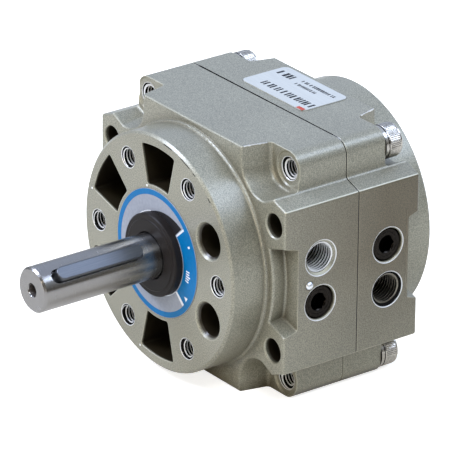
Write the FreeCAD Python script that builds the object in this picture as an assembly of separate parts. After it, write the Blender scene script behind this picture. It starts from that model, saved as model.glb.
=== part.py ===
import FreeCAD
import Part
import math
import os

# Rotary vane actuator with two shaft ends and a 270 degree swing.
# Lengths are millimetres. The shaft axis is Y and the front mounting face lies in the plane y = 0, so the
# long output shaft points along -Y. The port face looks along +X, the nameplate pad along +Z.
# The key and the vane stand at 45 degrees above +X, which is one end of the swing.

# Housing outline
FACE_R = 45.0
BODY_LENGTH = 90.0
FRONT_RISE = 15.0
REAR_RISE = 14.7
BLOCK_FRONT_Y = FRONT_RISE
BLOCK_REAR_Y = BODY_LENGTH - REAR_RISE
PARTING_Y = 47.8
RIM_CHAMFER = 0.9
BEAD_WIDTH = 0.9
BEAD_HEIGHT = 1.0
PAD_RISE = 3.0
PAD_Z = FACE_R + PAD_RISE
PAD_HALF_WIDTH = FACE_R + PAD_RISE
PAD_CORNER_R = 5.8
LEDGE_BELOW_PAD = 13.9
LEDGE_INNER_Z = PAD_Z - LEDGE_BELOW_PAD
LEDGE_DROP = 2.6
LEDGE_FILLET_R = 1.6
LUG_WIDTH = 7.5
PORT_FACE_X = PAD_HALF_WIDTH + LUG_WIDTH
LUG_EDGE_R = 1.0
BLOCK_EDGE_R = 0.9
PARTING_CHAMFER = 0.3

# Corner pockets that lay the tie bolt bosses bare, counted from the pad's side and from the ledge
POCKET_DEPTH_FRONT = 11.4
POCKET_DEPTH_REAR = 10.0
POCKET_WIDTH = 18.6
POCKET_DRAFT_X = 2.7
POCKET_BELOW_LEDGE = 2.8
POCKET_DRAFT_Z = 1.1
POCKET_CORNER_R = 11.5
POCKET_FLOOR_CORNER_R = 8.5
POCKET_LIP_WIDTH = 5.7
POCKET_LIP_DRAFT = 1.0
POCKET_LIP_R = 3.0
POCKET_FLOOR_FILLET_R = 1.6

# Recesses between the lugs
RECESS_GAP = 3.7
RECESS_R = FACE_R + RECESS_GAP
RECESS_DEPTH_FRONT = 5.9
RECESS_DEPTH_REAR = 4.6
RECESS_HALF_ANGLE = 17.3
RECESS_DRAFT_ANGLE = 1.4
RECESS_FLOOR_FILLET_R = 0.8

# Holes of the round faces
SCREW_PCD = 72.0
SCREW_COUNT = 6
SCREW_TAP_R = 3.4
REAR_SCREW_TAP_R = 2.5
SCREW_RIM_WIDTH = 0.75
SCREW_RIM_DEPTH = 0.43
SCREW_DEPTH = 13.0
DIAL_OUTER_R = 24.1
DIAL_THICKNESS = 0.25
WINDOW_DIAL_GAP = 1.5
WINDOW_RIM = 4.0
WINDOW_INNER_R = DIAL_OUTER_R + WINDOW_DIAL_GAP
WINDOW_OUTER_R = FACE_R - WINDOW_RIM
WINDOW_HALF_ANGLE = 14.0
WINDOW_CORNER_R = 1.0
WINDOW_DEPTH = 20.0
WINDOW_ANGLES = (90.0, 150.0, 210.0, 270.0)
CORE_HOLE_PITCH_R = 34.0
CORE_HOLE_ANGLES = (27.0, -27.0)
CORE_HOLE_R = 6.0
CORE_HOLE_RIM_WIDTH = 1.3
CORE_HOLE_CHAMFER = 1.4
CORE_HOLE_DEPTH = 18.0

# Through holes of the side lugs
LUG_HOLE_FROM_FACE = 6.7
LUG_HOLE_BELOW_LEDGE = 9.8
LUG_HOLE_X = PORT_FACE_X - LUG_HOLE_FROM_FACE
LUG_HOLE_Z = LEDGE_INNER_Z - LUG_HOLE_BELOW_LEDGE
LUG_HOLE_R = 4.5
LUG_HOLE_CHAMFER = 0.4

# Tie bolts with an 8 mm thread
TIE_FROM_SIDE = 6.0
TIE_BELOW_PAD = 7.0
TIE_X = PAD_HALF_WIDTH - TIE_FROM_SIDE
TIE_Z = PAD_Z - TIE_BELOW_PAD
TIE_SHANK_R = 4.0
TIE_THREAD_DEPTH = 0.6
TIE_TAP_R = TIE_SHANK_R - TIE_THREAD_DEPTH
TIE_HOLE_GAP = 0.5
TIE_CLEARANCE_R = TIE_SHANK_R + TIE_HOLE_GAP
TIE_THREAD_GAP = 0.02
TIE_TIP_CHAMFER = 0.5
TIE_LENGTH = 30.0
TIE_HEAD_R = 6.3
TIE_HEAD_HEIGHT = 6.3
TIE_HEAD_CHAMFER = 0.6
TIE_SOCKET_FLATS = 6.0
TIE_SOCKET_DEPTH = 4.0
TIE_MOUTH_R = TIE_SHANK_R + TIE_HOLE_GAP
TIE_SPOT_WIDTH = 2.2
TIE_SPOT_R = TIE_MOUTH_R + TIE_SPOT_WIDTH
TIE_SPOT_DEPTH = 0.5
WASHER_GAP = 0.1
WASHER_OUTER_R = TIE_HEAD_R + WASHER_GAP
WASHER_INNER_R = TIE_SHANK_R + WASHER_GAP
WASHER_THICKNESS = 1.8
WASHER_SLIT = 0.8

# Vane chamber
CHAMBER_R = 34.0
CHAMBER_FRONT_Y = 27.2
CHAMBER_REAR_WALL = 25.0
CHAMBER_REAR_Y = BODY_LENGTH - CHAMBER_REAR_WALL
BODY_RING_WALL = 3.4
BODY_RING_WIDTH = 2.4
BODY_RING_DEPTH = 1.9
BODY_RING_INNER_R = CHAMBER_R + BODY_RING_WALL
BODY_RING_OUTER_R = BODY_RING_INNER_R + BODY_RING_WIDTH

# Shaft, vane and key
SHAFT_R = 8.5
SHAFT_REACH = 55.0
SHAFT_END_CHAMFER = 0.8
RELIEF_DEPTH = 0.2
RELIEF_INSET = 0.5
CENTRE_MOUTH_R = 2.7
CENTRE_DRILL_R = 1.3
CENTRE_DRILL_DEPTH = 7.0
SHOULDER_RISE = 1.5
SHOULDER_R = SHAFT_R + SHOULDER_RISE
HUB_RISE = 2.5
HUB_R = SHOULDER_R + HUB_RISE
HUB_END_GAP = 0.1
RUNNING_GAP = 0.06
STUB_LENGTH = 18.0
STUB_FLATS = 13.0
STUB_FLAT_LENGTH = 14.0
REST_ANGLE = 45.0
KEY_WIDTH = 5.0
KEY_HEIGHT = 5.0
KEY_DEPTH = 3.0
KEY_LENGTH = 37.0
KEY_CHAMFER = 0.3
KEY_FROM_END = 6.1
KEY_FRONT_Y = KEY_FROM_END - SHAFT_REACH
KEYWAY_SIDE_GAP = 0.25
KEYWAY_FRONT_GAP = 1.7
KEYWAY_REAR_GAP = 0.9
KEYWAY_FRONT_Y = KEY_FRONT_Y - KEYWAY_FRONT_GAP
KEYWAY_REAR_Y = KEY_FRONT_Y + KEY_LENGTH + KEYWAY_REAR_GAP
VANE_PLATE_HALF = 3.0
VANE_PLATE_INSET = 2.4
JACKET_TIP = 2.5
VANE_PLATE_R = CHAMBER_R - JACKET_TIP
JACKET_SIDE = 1.5
JACKET_HALF = VANE_PLATE_HALF + JACKET_SIDE
JACKET_GAP = 0.1

# Stopper between the two air passages
STOPPER_GAP = 0.25
STOPPER_HUB_GAP = 0.15
TONGUE_RISE = 2.2
TONGUE_SINK = 2.0
TONGUE_R = CHAMBER_R + TONGUE_RISE
TONGUE_HALF = 4.0
STOPPER_SEAL_HALF = 1.5
STOPPER_SEAL_DEPTH = 2.6
STOPPER_SEAL_HUB_GAP = 0.08

# Caps round the shaft
CAP_R = 15.6
CAP_RISE = 3.8
CAP_SHAFT_GAP = 0.4
CAP_BORE_R = SHAFT_R + CAP_SHAFT_GAP
CAP_FLANGE_Y = 2.5
CAP_FLANGE_THICKNESS = 1.5
CAP_FLANGE_GAP = 0.05
CAP_WALL = 2.4
CAP_RELIEF_R = CAP_R - CAP_WALL
CAP_RELIEF_DEPTH = 1.2
CAP_EDGE_CHAMFER = 0.5
CAP_STEP_WIDTH = 2.0
CAP_STEP_R = CAP_R - CAP_STEP_WIDTH
CAP_STEP = 0.35

# Bearings, 17 x 35 x 10, and the rings behind them
BEARING_OUTER_R = 17.5
BEARING_WIDTH = 10.0
FRONT_BEARING_Y = CAP_FLANGE_Y + CAP_FLANGE_THICKNESS
REAR_BEARING_Y = BODY_LENGTH - FRONT_BEARING_Y - BEARING_WIDTH
BALL_PITCH_R = (SHAFT_R + BEARING_OUTER_R) / 2
BALL_R = 2.38
BALL_COUNT = 10
RACE_GAP = 0.04
RACE_GROOVE_R = BALL_R + RACE_GAP
RACE_LAND = 2.1
CAGE_HALF_WIDTH = 2.9
CAGE_HALF_THICKNESS = 0.7
CAGE_POCKET_GAP = 0.07
CAGE_POCKET_R = BALL_R + CAGE_POCKET_GAP
SHAFT_RING_WIDTH = 3.0
SHAFT_RING_HEIGHT = 2.8
SHAFT_RING_R = SHOULDER_R + SHAFT_RING_HEIGHT
SHAFT_RING_GAP = 0.05
SHAFT_RING_LAND = 4.0
FRONT_RING_Y = CHAMBER_FRONT_Y - SHAFT_RING_LAND - SHAFT_RING_WIDTH
REAR_RING_Y = CHAMBER_REAR_Y + SHAFT_RING_LAND

# Ports, Rc 1/4, and the passages behind them
PORT_FRONT_INSET = 3.8
PORT_REAR_INSET = 3.6
PORT_FRONT_Y = CHAMBER_FRONT_Y + PORT_FRONT_INSET
PORT_REAR_Y = CHAMBER_REAR_Y - PORT_REAR_INSET
OPEN_PORT_Z = 10.2
PLUGGED_PORT_Z = 7.2
PORT_TAP_R = 5.75
PORT_RIM_R = 7.0
PORT_DEPTH = 13.0
PASSAGE_R = 2.5
PLUGGED_PASSAGE_R = 2.0
PLUG_R = 6.5
PLUG_LENGTH = 8.0
PLUG_SINK = 0.9
PLUG_SOCKET_FLATS = 6.0
PLUG_SOCKET_DEPTH = 5.0
PLUG_EDGE_CHAMFER = 0.7
PLUG_SOCKET_RIM = 0.5
PASSAGE_BALL_FROM_PORT = 4.8
PASSAGE_BALL_Y = PORT_FRONT_Y - PASSAGE_BALL_FROM_PORT
PASSAGE_BALL_Z = 0.5
PASSAGE_BALL_R = 1.7
PASSAGE_BALL_SINK = 1.0

# Nameplate on the rear half of the top pad
NAMEPLATE_X = -1.6
NAMEPLATE_MARGIN = 2.4
NAMEPLATE_LENGTH = 37.0
NAMEPLATE_WIDTH = 21.0
NAMEPLATE_CORNER_R = 2.4
NAMEPLATE_THICKNESS = 0.3

V = FreeCAD.Vector
ORIGIN = V(0, 0, 0)
ALONG = V(0, 1, 0)
SWING_AXIS = V(0, -1, 0)


def on_circle(radius, degrees, y=0.0):
    """Point at the given radius and angle round the shaft axis, counted from +X towards +Z."""
    a = math.radians(degrees)
    return V(radius * math.cos(a), y, radius * math.sin(a))


def rod(radius, y0, y1, x=0.0, z=0.0):
    """Cylinder along the shaft direction."""
    return Part.makeCylinder(radius, y1 - y0, V(x, y0, z), ALONG)


def cone(r0, r1, y0, y1, x=0.0, z=0.0):
    """Frustum along the shaft direction, with radius r0 at y0 and r1 at y1, where y0 may be the larger."""
    direction = ALONG if y1 > y0 else V(0, -1, 0)
    return Part.makeCone(r0, r1, abs(y1 - y0), V(x, y0, z), direction)


def box(x0, x1, y0, y1, z0, z1):
    return Part.makeBox(x1 - x0, y1 - y0, z1 - z0, V(x0, y0, z0))


def turned(profile):
    """Solid of revolution about the shaft axis from (radius, y) points."""
    points = [V(r, y, 0) for r, y in profile]
    face = Part.Face(Part.makePolygon(points + points[:1]))
    return face.revolve(ORIGIN, ALONG, 360)


def rounded_wire(corners, y):
    """Closed wire in the plane y from (x, z, radius) corners, each rounded by a tangent arc of its radius."""
    edges = []
    starts = []
    ends = []
    count = len(corners)
    for i in range(count):
        here = V(corners[i][0], y, corners[i][1])
        back = V(corners[i - 1][0], y, corners[i - 1][1]) - here
        on = V(corners[(i + 1) % count][0], y, corners[(i + 1) % count][1]) - here
        back.normalize()
        on.normalize()
        radius = corners[i][2]
        if radius == 0:
            starts.append(here)
            ends.append(here)
            edges.append(None)
            continue
        half = back.getAngle(on) / 2
        cut = radius / math.tan(half)
        bisector = back + on
        bisector.normalize()
        centre = here + bisector * (radius / math.sin(half))
        starts.append(here + back * cut)
        ends.append(here + on * cut)
        edges.append(Part.Arc(starts[i], centre - bisector * radius, ends[i]).toShape())
    outline = []
    for i in range(count):
        if edges[i]:
            outline.append(edges[i])
        following = starts[(i + 1) % count]
        if ends[i].distanceToPoint(following) > 1e-6:
            outline.append(Part.LineSegment(ends[i], following).toShape())
    return Part.Wire(outline)


def prism(corners, y0, y1):
    """Straight extrusion along the shaft direction of a rounded outline."""
    return Part.Face(rounded_wire(corners, y0)).extrude(V(0, y1 - y0, 0))


def tapered(corners0, y0, corners1, y1):
    """Solid between two rounded outlines with the same number of corners."""
    return Part.makeLoft([rounded_wire(corners0, y0), rounded_wire(corners1, y1)], True, True)


def edges_along(shape, direction):
    """Straight edges of a shape that run along a direction."""
    found = []
    for edge in shape.Edges:
        if isinstance(edge.Curve, Part.Line) and edge.Curve.Direction.cross(direction).Length < 1e-6:
            found.append(edge)
    return found


def lies_at(item, y):
    """Whether an edge or a face lies in one plane across the shaft direction."""
    return abs(item.BoundBox.YMin - y) < 1e-6 and abs(item.BoundBox.YMax - y) < 1e-6


def edges_at(shape, y):
    return [edge for edge in shape.Edges if lies_at(edge, y)]


def mirrored_x(shape):
    return shape.mirror(ORIGIN, V(1, 0, 0))


def mirrored_z(shape):
    return shape.mirror(ORIGIN, V(0, 0, 1))


def swung(shape):
    """Turns a piece drawn along +X to the angle at which the shaft rests."""
    shape.rotate(ORIGIN, SWING_AXIS, REST_ANGLE)
    return shape


def block():
    """Cross-shaped casting block: pads, side lugs and sloped ledges, hollowed out at the corners and sides."""
    outline = []
    for side in (1, -1):
        quarter = [
            (side * PAD_HALF_WIDTH, PAD_Z, PAD_CORNER_R),
            (side * PAD_HALF_WIDTH, LEDGE_INNER_Z, LEDGE_FILLET_R),
            (side * PORT_FACE_X, LEDGE_INNER_Z - LEDGE_DROP, LUG_EDGE_R),
        ]
        lower = [(x, -z, r) for x, z, r in reversed(quarter)]
        half = quarter + lower
        outline += half if side > 0 else list(reversed(half))
    solid = prism(outline, BLOCK_FRONT_Y, BLOCK_REAR_Y).cut(end_hollows())
    ends = edges_at(solid, BLOCK_FRONT_Y) + edges_at(solid, BLOCK_REAR_Y)
    return solid.makeFillet(BLOCK_EDGE_R, ends)


def end_hollows():
    """Cutters for the corner pockets and the side recesses of both ends of the block."""
    cutters = []
    for mouth, inward, pocket_depth, recess_depth in (
        (BLOCK_FRONT_Y, 1, POCKET_DEPTH_FRONT, RECESS_DEPTH_FRONT),
        (BLOCK_REAR_Y, -1, POCKET_DEPTH_REAR, RECESS_DEPTH_REAR),
    ):
        right = pocket(mouth, mouth + inward * pocket_depth)
        left = mirrored_x(right)
        cutters += [right, left, mirrored_z(right), mirrored_z(left)]
        right = recess(mouth, mouth + inward * recess_depth)
        cutters += [right, mirrored_x(right)]
    return cutters


def pocket(mouth_y, floor_y):
    """Cutter for the corner pocket at +X, +Z, with drafted walls and a lip that climbs to the ledge."""
    far = PAD_HALF_WIDTH + PAD_Z

    def outline(draft_x, draft_z, corner_r, lip_draft):
        x = PAD_HALF_WIDTH - POCKET_WIDTH + draft_x
        z = LEDGE_INNER_Z - POCKET_BELOW_LEDGE + draft_z
        lip_x = PAD_HALF_WIDTH - POCKET_LIP_WIDTH + lip_draft
        lip_slope = (LEDGE_INNER_Z - z) / (PAD_HALF_WIDTH - lip_x)
        return [
            (x, far, 0),
            (x, z, corner_r),
            (lip_x, z, POCKET_LIP_R),
            (far, z + (far - lip_x) * lip_slope, 0),
            (far, far, 0),
        ]

    mouth = outline(0.0, 0.0, POCKET_CORNER_R, 0.0)
    floor = outline(POCKET_DRAFT_X, POCKET_DRAFT_Z, POCKET_FLOOR_CORNER_R, POCKET_LIP_DRAFT)
    hollow = tapered(mouth, mouth_y, floor, floor_y)
    return hollow.makeFillet(POCKET_FLOOR_FILLET_R, edges_at(hollow, floor_y))


def recess(mouth_y, floor_y):
    """Cutter for the recess between the two lugs on the port side."""
    far = 2 * PORT_FACE_X

    def outline(draft):
        near = on_circle(CHAMBER_R, RECESS_HALF_ANGLE - draft)
        away = on_circle(far, RECESS_HALF_ANGLE - draft)
        return [(near.x, -near.z, 0), (away.x, -away.z, 0), (away.x, away.z, 0), (near.x, near.z, 0)]

    wedge = tapered(outline(0.0), mouth_y, outline(RECESS_DRAFT_ANGLE), floor_y)
    low_y, high_y = sorted((mouth_y, floor_y))
    hollow = wedge.cut(rod(RECESS_R, low_y - 1, high_y + 1))
    return hollow.makeFillet(RECESS_FLOOR_FILLET_R, edges_at(hollow, floor_y))


def face_window(angle, mouth_y, inward):
    """Cutter for one sector window of a round face, with rounded corners."""
    y0, y1 = sorted((mouth_y - inward, mouth_y + inward * WINDOW_DEPTH))
    ring = rod(WINDOW_OUTER_R, y0, y1).cut(rod(WINDOW_INNER_R, y0 - 1, y1 + 1))
    low = on_circle(2 * WINDOW_OUTER_R, -WINDOW_HALF_ANGLE)
    wedge = prism([(0, 0, 0), (low.x, low.z, 0), (low.x, -low.z, 0)], y0 - 1, y1 + 1)
    sector = ring.common(wedge)
    sector = sector.makeFillet(WINDOW_CORNER_R, edges_along(sector, ALONG))
    sector.rotate(ORIGIN, SWING_AXIS, angle)
    return sector


def face_holes(mouth_y, inward, tap_r):
    """Cutters for the tapped holes, windows and plain round holes of one round face."""
    cutters = []
    for i in range(SCREW_COUNT):
        at = on_circle(SCREW_PCD / 2, i * 360 / SCREW_COUNT)
        bottom = mouth_y + inward * SCREW_DEPTH
        rim = mouth_y + inward * SCREW_RIM_DEPTH
        y0, y1 = sorted((mouth_y, bottom))
        cutters.append(rod(tap_r, y0, y1, at.x, at.z))
        cutters.append(cone(tap_r, 0.1, bottom, bottom + inward * tap_r / 2, at.x, at.z))
        cutters.append(cone(tap_r + SCREW_RIM_WIDTH, tap_r, mouth_y, rim, at.x, at.z))
    for angle in WINDOW_ANGLES:
        cutters.append(face_window(angle, mouth_y, inward))
    for angle in CORE_HOLE_ANGLES:
        at = on_circle(CORE_HOLE_PITCH_R, angle)
        y0, y1 = sorted((mouth_y, mouth_y + inward * CORE_HOLE_DEPTH))
        cutters.append(rod(CORE_HOLE_R, y0, y1, at.x, at.z))
        floor = mouth_y + inward * CORE_HOLE_CHAMFER
        cutters.append(cone(CORE_HOLE_R + CORE_HOLE_RIM_WIDTH, CORE_HOLE_R, mouth_y, floor, at.x, at.z))
    return cutters


def lug_holes():
    """Cutters for the four through holes of the lugs, with a small chamfer at both ends."""
    cutters = []
    rim_r = LUG_HOLE_R + LUG_HOLE_CHAMFER
    for x in (LUG_HOLE_X, -LUG_HOLE_X):
        for z in (LUG_HOLE_Z, -LUG_HOLE_Z):
            cutters.append(rod(LUG_HOLE_R, BLOCK_FRONT_Y - 1, BLOCK_REAR_Y + 1, x, z))
            cutters.append(cone(rim_r, LUG_HOLE_R, BLOCK_FRONT_Y, BLOCK_FRONT_Y + LUG_HOLE_CHAMFER, x, z))
            cutters.append(cone(rim_r, LUG_HOLE_R, BLOCK_REAR_Y, BLOCK_REAR_Y - LUG_HOLE_CHAMFER, x, z))
    return cutters


def tie_places():
    """Centres of the four tie bolts, as (x, z)."""
    return [(TIE_X, TIE_Z), (-TIE_X, TIE_Z), (-TIE_X, -TIE_Z), (TIE_X, -TIE_Z)]


def ports():
    """The four ports as (y, z, is_open). The open ones lie diagonally across the port face."""
    return [
        (PORT_FRONT_Y, OPEN_PORT_Z, True),
        (PORT_FRONT_Y, -PLUGGED_PORT_Z, False),
        (PORT_REAR_Y, PLUGGED_PORT_Z, False),
        (PORT_REAR_Y, -OPEN_PORT_Z, True),
    ]


def port_cutters():
    """Tapped port holes with their chamfers and the passages that lead from them to the chamber."""
    inward = V(-1, 0, 0)
    cutters = []
    for y, z, is_open in ports():
        mouth = V(PORT_FACE_X, y, z)
        tap_r = PORT_TAP_R if is_open else PLUG_R
        passage_r = PASSAGE_R if is_open else PLUGGED_PASSAGE_R
        rim_depth = (PORT_RIM_R - tap_r) * 0.7
        cutters.append(Part.makeCylinder(tap_r, PORT_DEPTH, mouth, inward))
        cutters.append(Part.makeCone(PORT_RIM_R, tap_r, rim_depth, mouth, inward))
        cutters.append(Part.makeCylinder(passage_r, PORT_FACE_X - CHAMBER_R / 2, mouth, inward))
    ball_hole = V(PORT_FACE_X, PASSAGE_BALL_Y, PASSAGE_BALL_Z)
    ball_depth = 2 * PASSAGE_BALL_R + PASSAGE_BALL_SINK
    cutters.append(Part.makeCylinder(PASSAGE_BALL_R, ball_depth, ball_hole, inward))
    return cutters


def housing():
    """Both castings as one solid, before they are parted."""
    solid = block()
    solid = solid.fuse(rod(FACE_R, 0, BODY_LENGTH))
    solid = solid.cut(rim_cutter(0, 1))
    solid = solid.cut(rim_cutter(BODY_LENGTH, -1))
    for y, outward in ((BLOCK_FRONT_Y, -1), (BLOCK_REAR_Y, 1)):
        solid = solid.fuse(bead(y, outward))
    cutters = face_holes(0, 1, SCREW_TAP_R)
    cutters += face_holes(BODY_LENGTH, -1, REAR_SCREW_TAP_R)
    cutters += lug_holes()
    cutters += port_cutters()
    cutters.append(rod(CHAMBER_R, CHAMBER_FRONT_Y, CHAMBER_REAR_Y))
    cutters.append(box(0, TONGUE_R, CHAMBER_FRONT_Y, CHAMBER_REAR_Y, -TONGUE_HALF, TONGUE_HALF))
    cutters += shaft_bores()
    return solid.cut(cutters)


def rim_cutter(y, inward):
    """Ring that chamfers the outer edge of a round face."""
    outer = FACE_R + 1
    return turned([
        (FACE_R - RIM_CHAMFER, y),
        (outer, y),
        (outer, y + inward * RIM_CHAMFER),
        (FACE_R, y + inward * RIM_CHAMFER),
    ])


def bead(y, outward):
    """Raised bead round the foot of a round end, with a rounded outer edge."""
    crown = y + outward * BEAD_HEIGHT
    radius = FACE_R + BEAD_WIDTH
    ring = turned([(FACE_R - 1, y), (radius, y), (radius, crown), (FACE_R - 1, crown)])
    at_crown = [e for e in ring.Edges if abs(e.BoundBox.YMin - crown) < 1e-6]
    outer = [e for e in at_crown if abs(e.BoundBox.XMax - radius) < 1e-6]
    return ring.makeFillet(0.8 * BEAD_HEIGHT, outer)


def shaft_bores():
    """Stepped bores for the cap, the bearing and the seal ring at each end."""
    front = turned([
        (0, -1),
        (CAP_R, -1),
        (CAP_R, CAP_FLANGE_Y),
        (BEARING_OUTER_R, CAP_FLANGE_Y),
        (BEARING_OUTER_R, CHAMBER_FRONT_Y),
        (0, CHAMBER_FRONT_Y),
    ])
    rear_flange_y = BODY_LENGTH - CAP_FLANGE_Y
    rear = turned([
        (0, CHAMBER_REAR_Y),
        (BEARING_OUTER_R, CHAMBER_REAR_Y),
        (BEARING_OUTER_R, rear_flange_y),
        (CAP_R, rear_flange_y),
        (CAP_R, BODY_LENGTH + 1),
        (0, BODY_LENGTH + 1),
    ])
    return [front, rear]


def front_body():
    half = housing_half(-1.0, PARTING_Y)
    cutters = [turned([
        (BODY_RING_INNER_R, PARTING_Y - BODY_RING_DEPTH),
        (BODY_RING_OUTER_R, PARTING_Y - BODY_RING_DEPTH),
        (BODY_RING_OUTER_R, PARTING_Y + 1),
        (BODY_RING_INNER_R, PARTING_Y + 1),
    ])]
    boss_y = BLOCK_FRONT_Y + POCKET_DEPTH_FRONT
    mouth_y = boss_y + TIE_SPOT_DEPTH
    for x, z in tie_places():
        cutters.append(rod(TIE_TAP_R, boss_y - 1, PARTING_Y + 1, x, z))
        cutters.append(cone(TIE_SPOT_R, TIE_SPOT_R - TIE_SPOT_DEPTH, boss_y, mouth_y, x, z))
        cutters.append(cone(TIE_MOUTH_R, TIE_TAP_R, mouth_y, mouth_y + TIE_MOUTH_R - TIE_TAP_R, x, z))
    return half.cut(cutters)


def rear_body():
    half = housing_half(PARTING_Y, BODY_LENGTH + 1)
    holes = [rod(TIE_CLEARANCE_R, PARTING_Y - 1, BODY_LENGTH, x, z) for x, z in tie_places()]
    return half.cut(holes)


def housing_half(y0, y1):
    """One casting, with its outer edge at the parting face chamfered."""
    reach = 2 * PORT_FACE_X
    half = HOUSING.common(box(-reach, reach, y0, y1, -reach, reach))
    joint = [face for face in half.Faces if lies_at(face, PARTING_Y)]
    return half.makeChamfer(PARTING_CHAMFER, joint[0].OuterWire.Edges)


def body_oring():
    """Ring in the groove of the parting face."""
    return turned([
        (BODY_RING_INNER_R, PARTING_Y - BODY_RING_DEPTH),
        (BODY_RING_OUTER_R, PARTING_Y - BODY_RING_DEPTH),
        (BODY_RING_OUTER_R, PARTING_Y),
        (BODY_RING_INNER_R, PARTING_Y),
    ])


def vane_shaft():
    """Shaft, hub and vane plate in one piece, with keyway, centre holes and the square rear end."""
    rear_end = BODY_LENGTH + STUB_LENGTH
    front_end = -SHAFT_REACH
    hub_front = CHAMBER_FRONT_Y + HUB_END_GAP
    hub_rear = CHAMBER_REAR_Y - HUB_END_GAP
    body = turned([
        (0, front_end),
        (SHAFT_R - SHAFT_END_CHAMFER, front_end),
        (SHAFT_R, front_end + SHAFT_END_CHAMFER),
        (SHAFT_R, RELIEF_INSET - CAP_RISE),
        (SHAFT_R - RELIEF_DEPTH, RELIEF_INSET - CAP_RISE),
        (SHAFT_R - RELIEF_DEPTH, FRONT_BEARING_Y),
        (SHAFT_R, FRONT_BEARING_Y),
        (SHAFT_R, FRONT_BEARING_Y + BEARING_WIDTH),
        (SHOULDER_R, FRONT_BEARING_Y + BEARING_WIDTH),
        (SHOULDER_R, hub_front),
        (HUB_R, hub_front),
        (HUB_R, hub_rear),
        (SHOULDER_R, hub_rear),
        (SHOULDER_R, REAR_BEARING_Y),
        (SHAFT_R, REAR_BEARING_Y),
        (SHAFT_R, rear_end - SHAFT_END_CHAMFER),
        (SHAFT_R - SHAFT_END_CHAMFER, rear_end),
        (0, rear_end),
    ])
    plate = box(
        0, VANE_PLATE_R,
        CHAMBER_FRONT_Y + VANE_PLATE_INSET, CHAMBER_REAR_Y - VANE_PLATE_INSET,
        -VANE_PLATE_HALF, VANE_PLATE_HALF,
    )
    body = body.fuse(plate)
    cutters = [keyway_cutter()]
    for end, inward in ((front_end, 1), (rear_end, -1)):
        cutters += centre_hole(end, inward)
    cutters += stub_flats(rear_end)
    return swung(body.cut(cutters))


def keyway_cutter():
    """Round-ended slot along +X, from above the shaft down to the seat of the key."""
    half = KEY_WIDTH / 2 + KEYWAY_SIDE_GAP
    return round_ended(half, KEYWAY_FRONT_Y, KEYWAY_REAR_Y, SHAFT_R - KEY_DEPTH, SHAFT_R + 1)


def round_ended(half, y0, y1, x0, x1):
    """Slot-shaped solid with half-round ends, standing along X between x0 and x1."""
    straight = box(x0, x1, y0 + half, y1 - half, -half, half)
    ends = [Part.makeCylinder(half, x1 - x0, V(x0, y, 0), V(1, 0, 0)) for y in (y0 + half, y1 - half)]
    return straight.fuse(ends).removeSplitter()


def centre_hole(end, inward):
    mouth_depth = (CENTRE_MOUTH_R - CENTRE_DRILL_R) * math.sqrt(3)
    floor = end + inward * CENTRE_DRILL_DEPTH
    y0, y1 = sorted((end, floor))
    return [
        rod(CENTRE_DRILL_R, y0, y1),
        cone(CENTRE_MOUTH_R, CENTRE_DRILL_R, end, end + inward * mouth_depth),
    ]


def stub_flats(rear_end):
    """Cutters for the four flats of the rear shaft end."""
    start = rear_end - STUB_FLAT_LENGTH
    half = STUB_FLATS / 2
    slab = box(half, 2 * SHAFT_R, start, rear_end + 1, -2 * SHAFT_R, 2 * SHAFT_R)
    slabs = []
    for i in range(4):
        turned_slab = slab.copy()
        turned_slab.rotate(ORIGIN, SWING_AXIS, 90 * i)
        slabs.append(turned_slab)
    return slabs


def shaft_key():
    """Parallel key with round ends and a small chamfer round its top."""
    seat = SHAFT_R - KEY_DEPTH
    rear = KEY_FRONT_Y + KEY_LENGTH
    key = round_ended(KEY_WIDTH / 2, KEY_FRONT_Y, rear, seat, seat + KEY_HEIGHT)
    top = [e for e in key.Edges if abs(e.BoundBox.XMin - seat - KEY_HEIGHT) < 1e-6]
    return swung(key.makeChamfer(KEY_CHAMFER, top))


def vane_jacket():
    """Rubber jacket moulded over the vane plate, a little clear of the chamber wall."""
    y0 = CHAMBER_FRONT_Y + HUB_END_GAP
    y1 = CHAMBER_REAR_Y - HUB_END_GAP
    slab = box(0, CHAMBER_R, y0, y1, -JACKET_HALF, JACKET_HALF)
    jacket = slab.common(rod(CHAMBER_R - JACKET_GAP, y0, y1))
    jacket = jacket.cut(rod(HUB_R, y0 - 1, y1 + 1))
    plate = box(
        0, VANE_PLATE_R,
        CHAMBER_FRONT_Y + VANE_PLATE_INSET, CHAMBER_REAR_Y - VANE_PLATE_INSET,
        -VANE_PLATE_HALF, VANE_PLATE_HALF,
    )
    return swung(jacket.cut(plate))


def stopper_seal_cutter(hub_gap):
    """U-shaped band in the middle plane of the stopper: along the hub and both end walls."""
    inner_x = HUB_R + hub_gap + STOPPER_SEAL_DEPTH
    outer = box(0, CHAMBER_R, CHAMBER_FRONT_Y, CHAMBER_REAR_Y, -STOPPER_SEAL_HALF, STOPPER_SEAL_HALF)
    inner = box(
        inner_x, CHAMBER_R + 1,
        CHAMBER_FRONT_Y + STOPPER_SEAL_DEPTH, CHAMBER_REAR_Y - STOPPER_SEAL_DEPTH,
        -STOPPER_SEAL_HALF - 1, STOPPER_SEAL_HALF + 1,
    )
    return outer.cut(inner)


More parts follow.
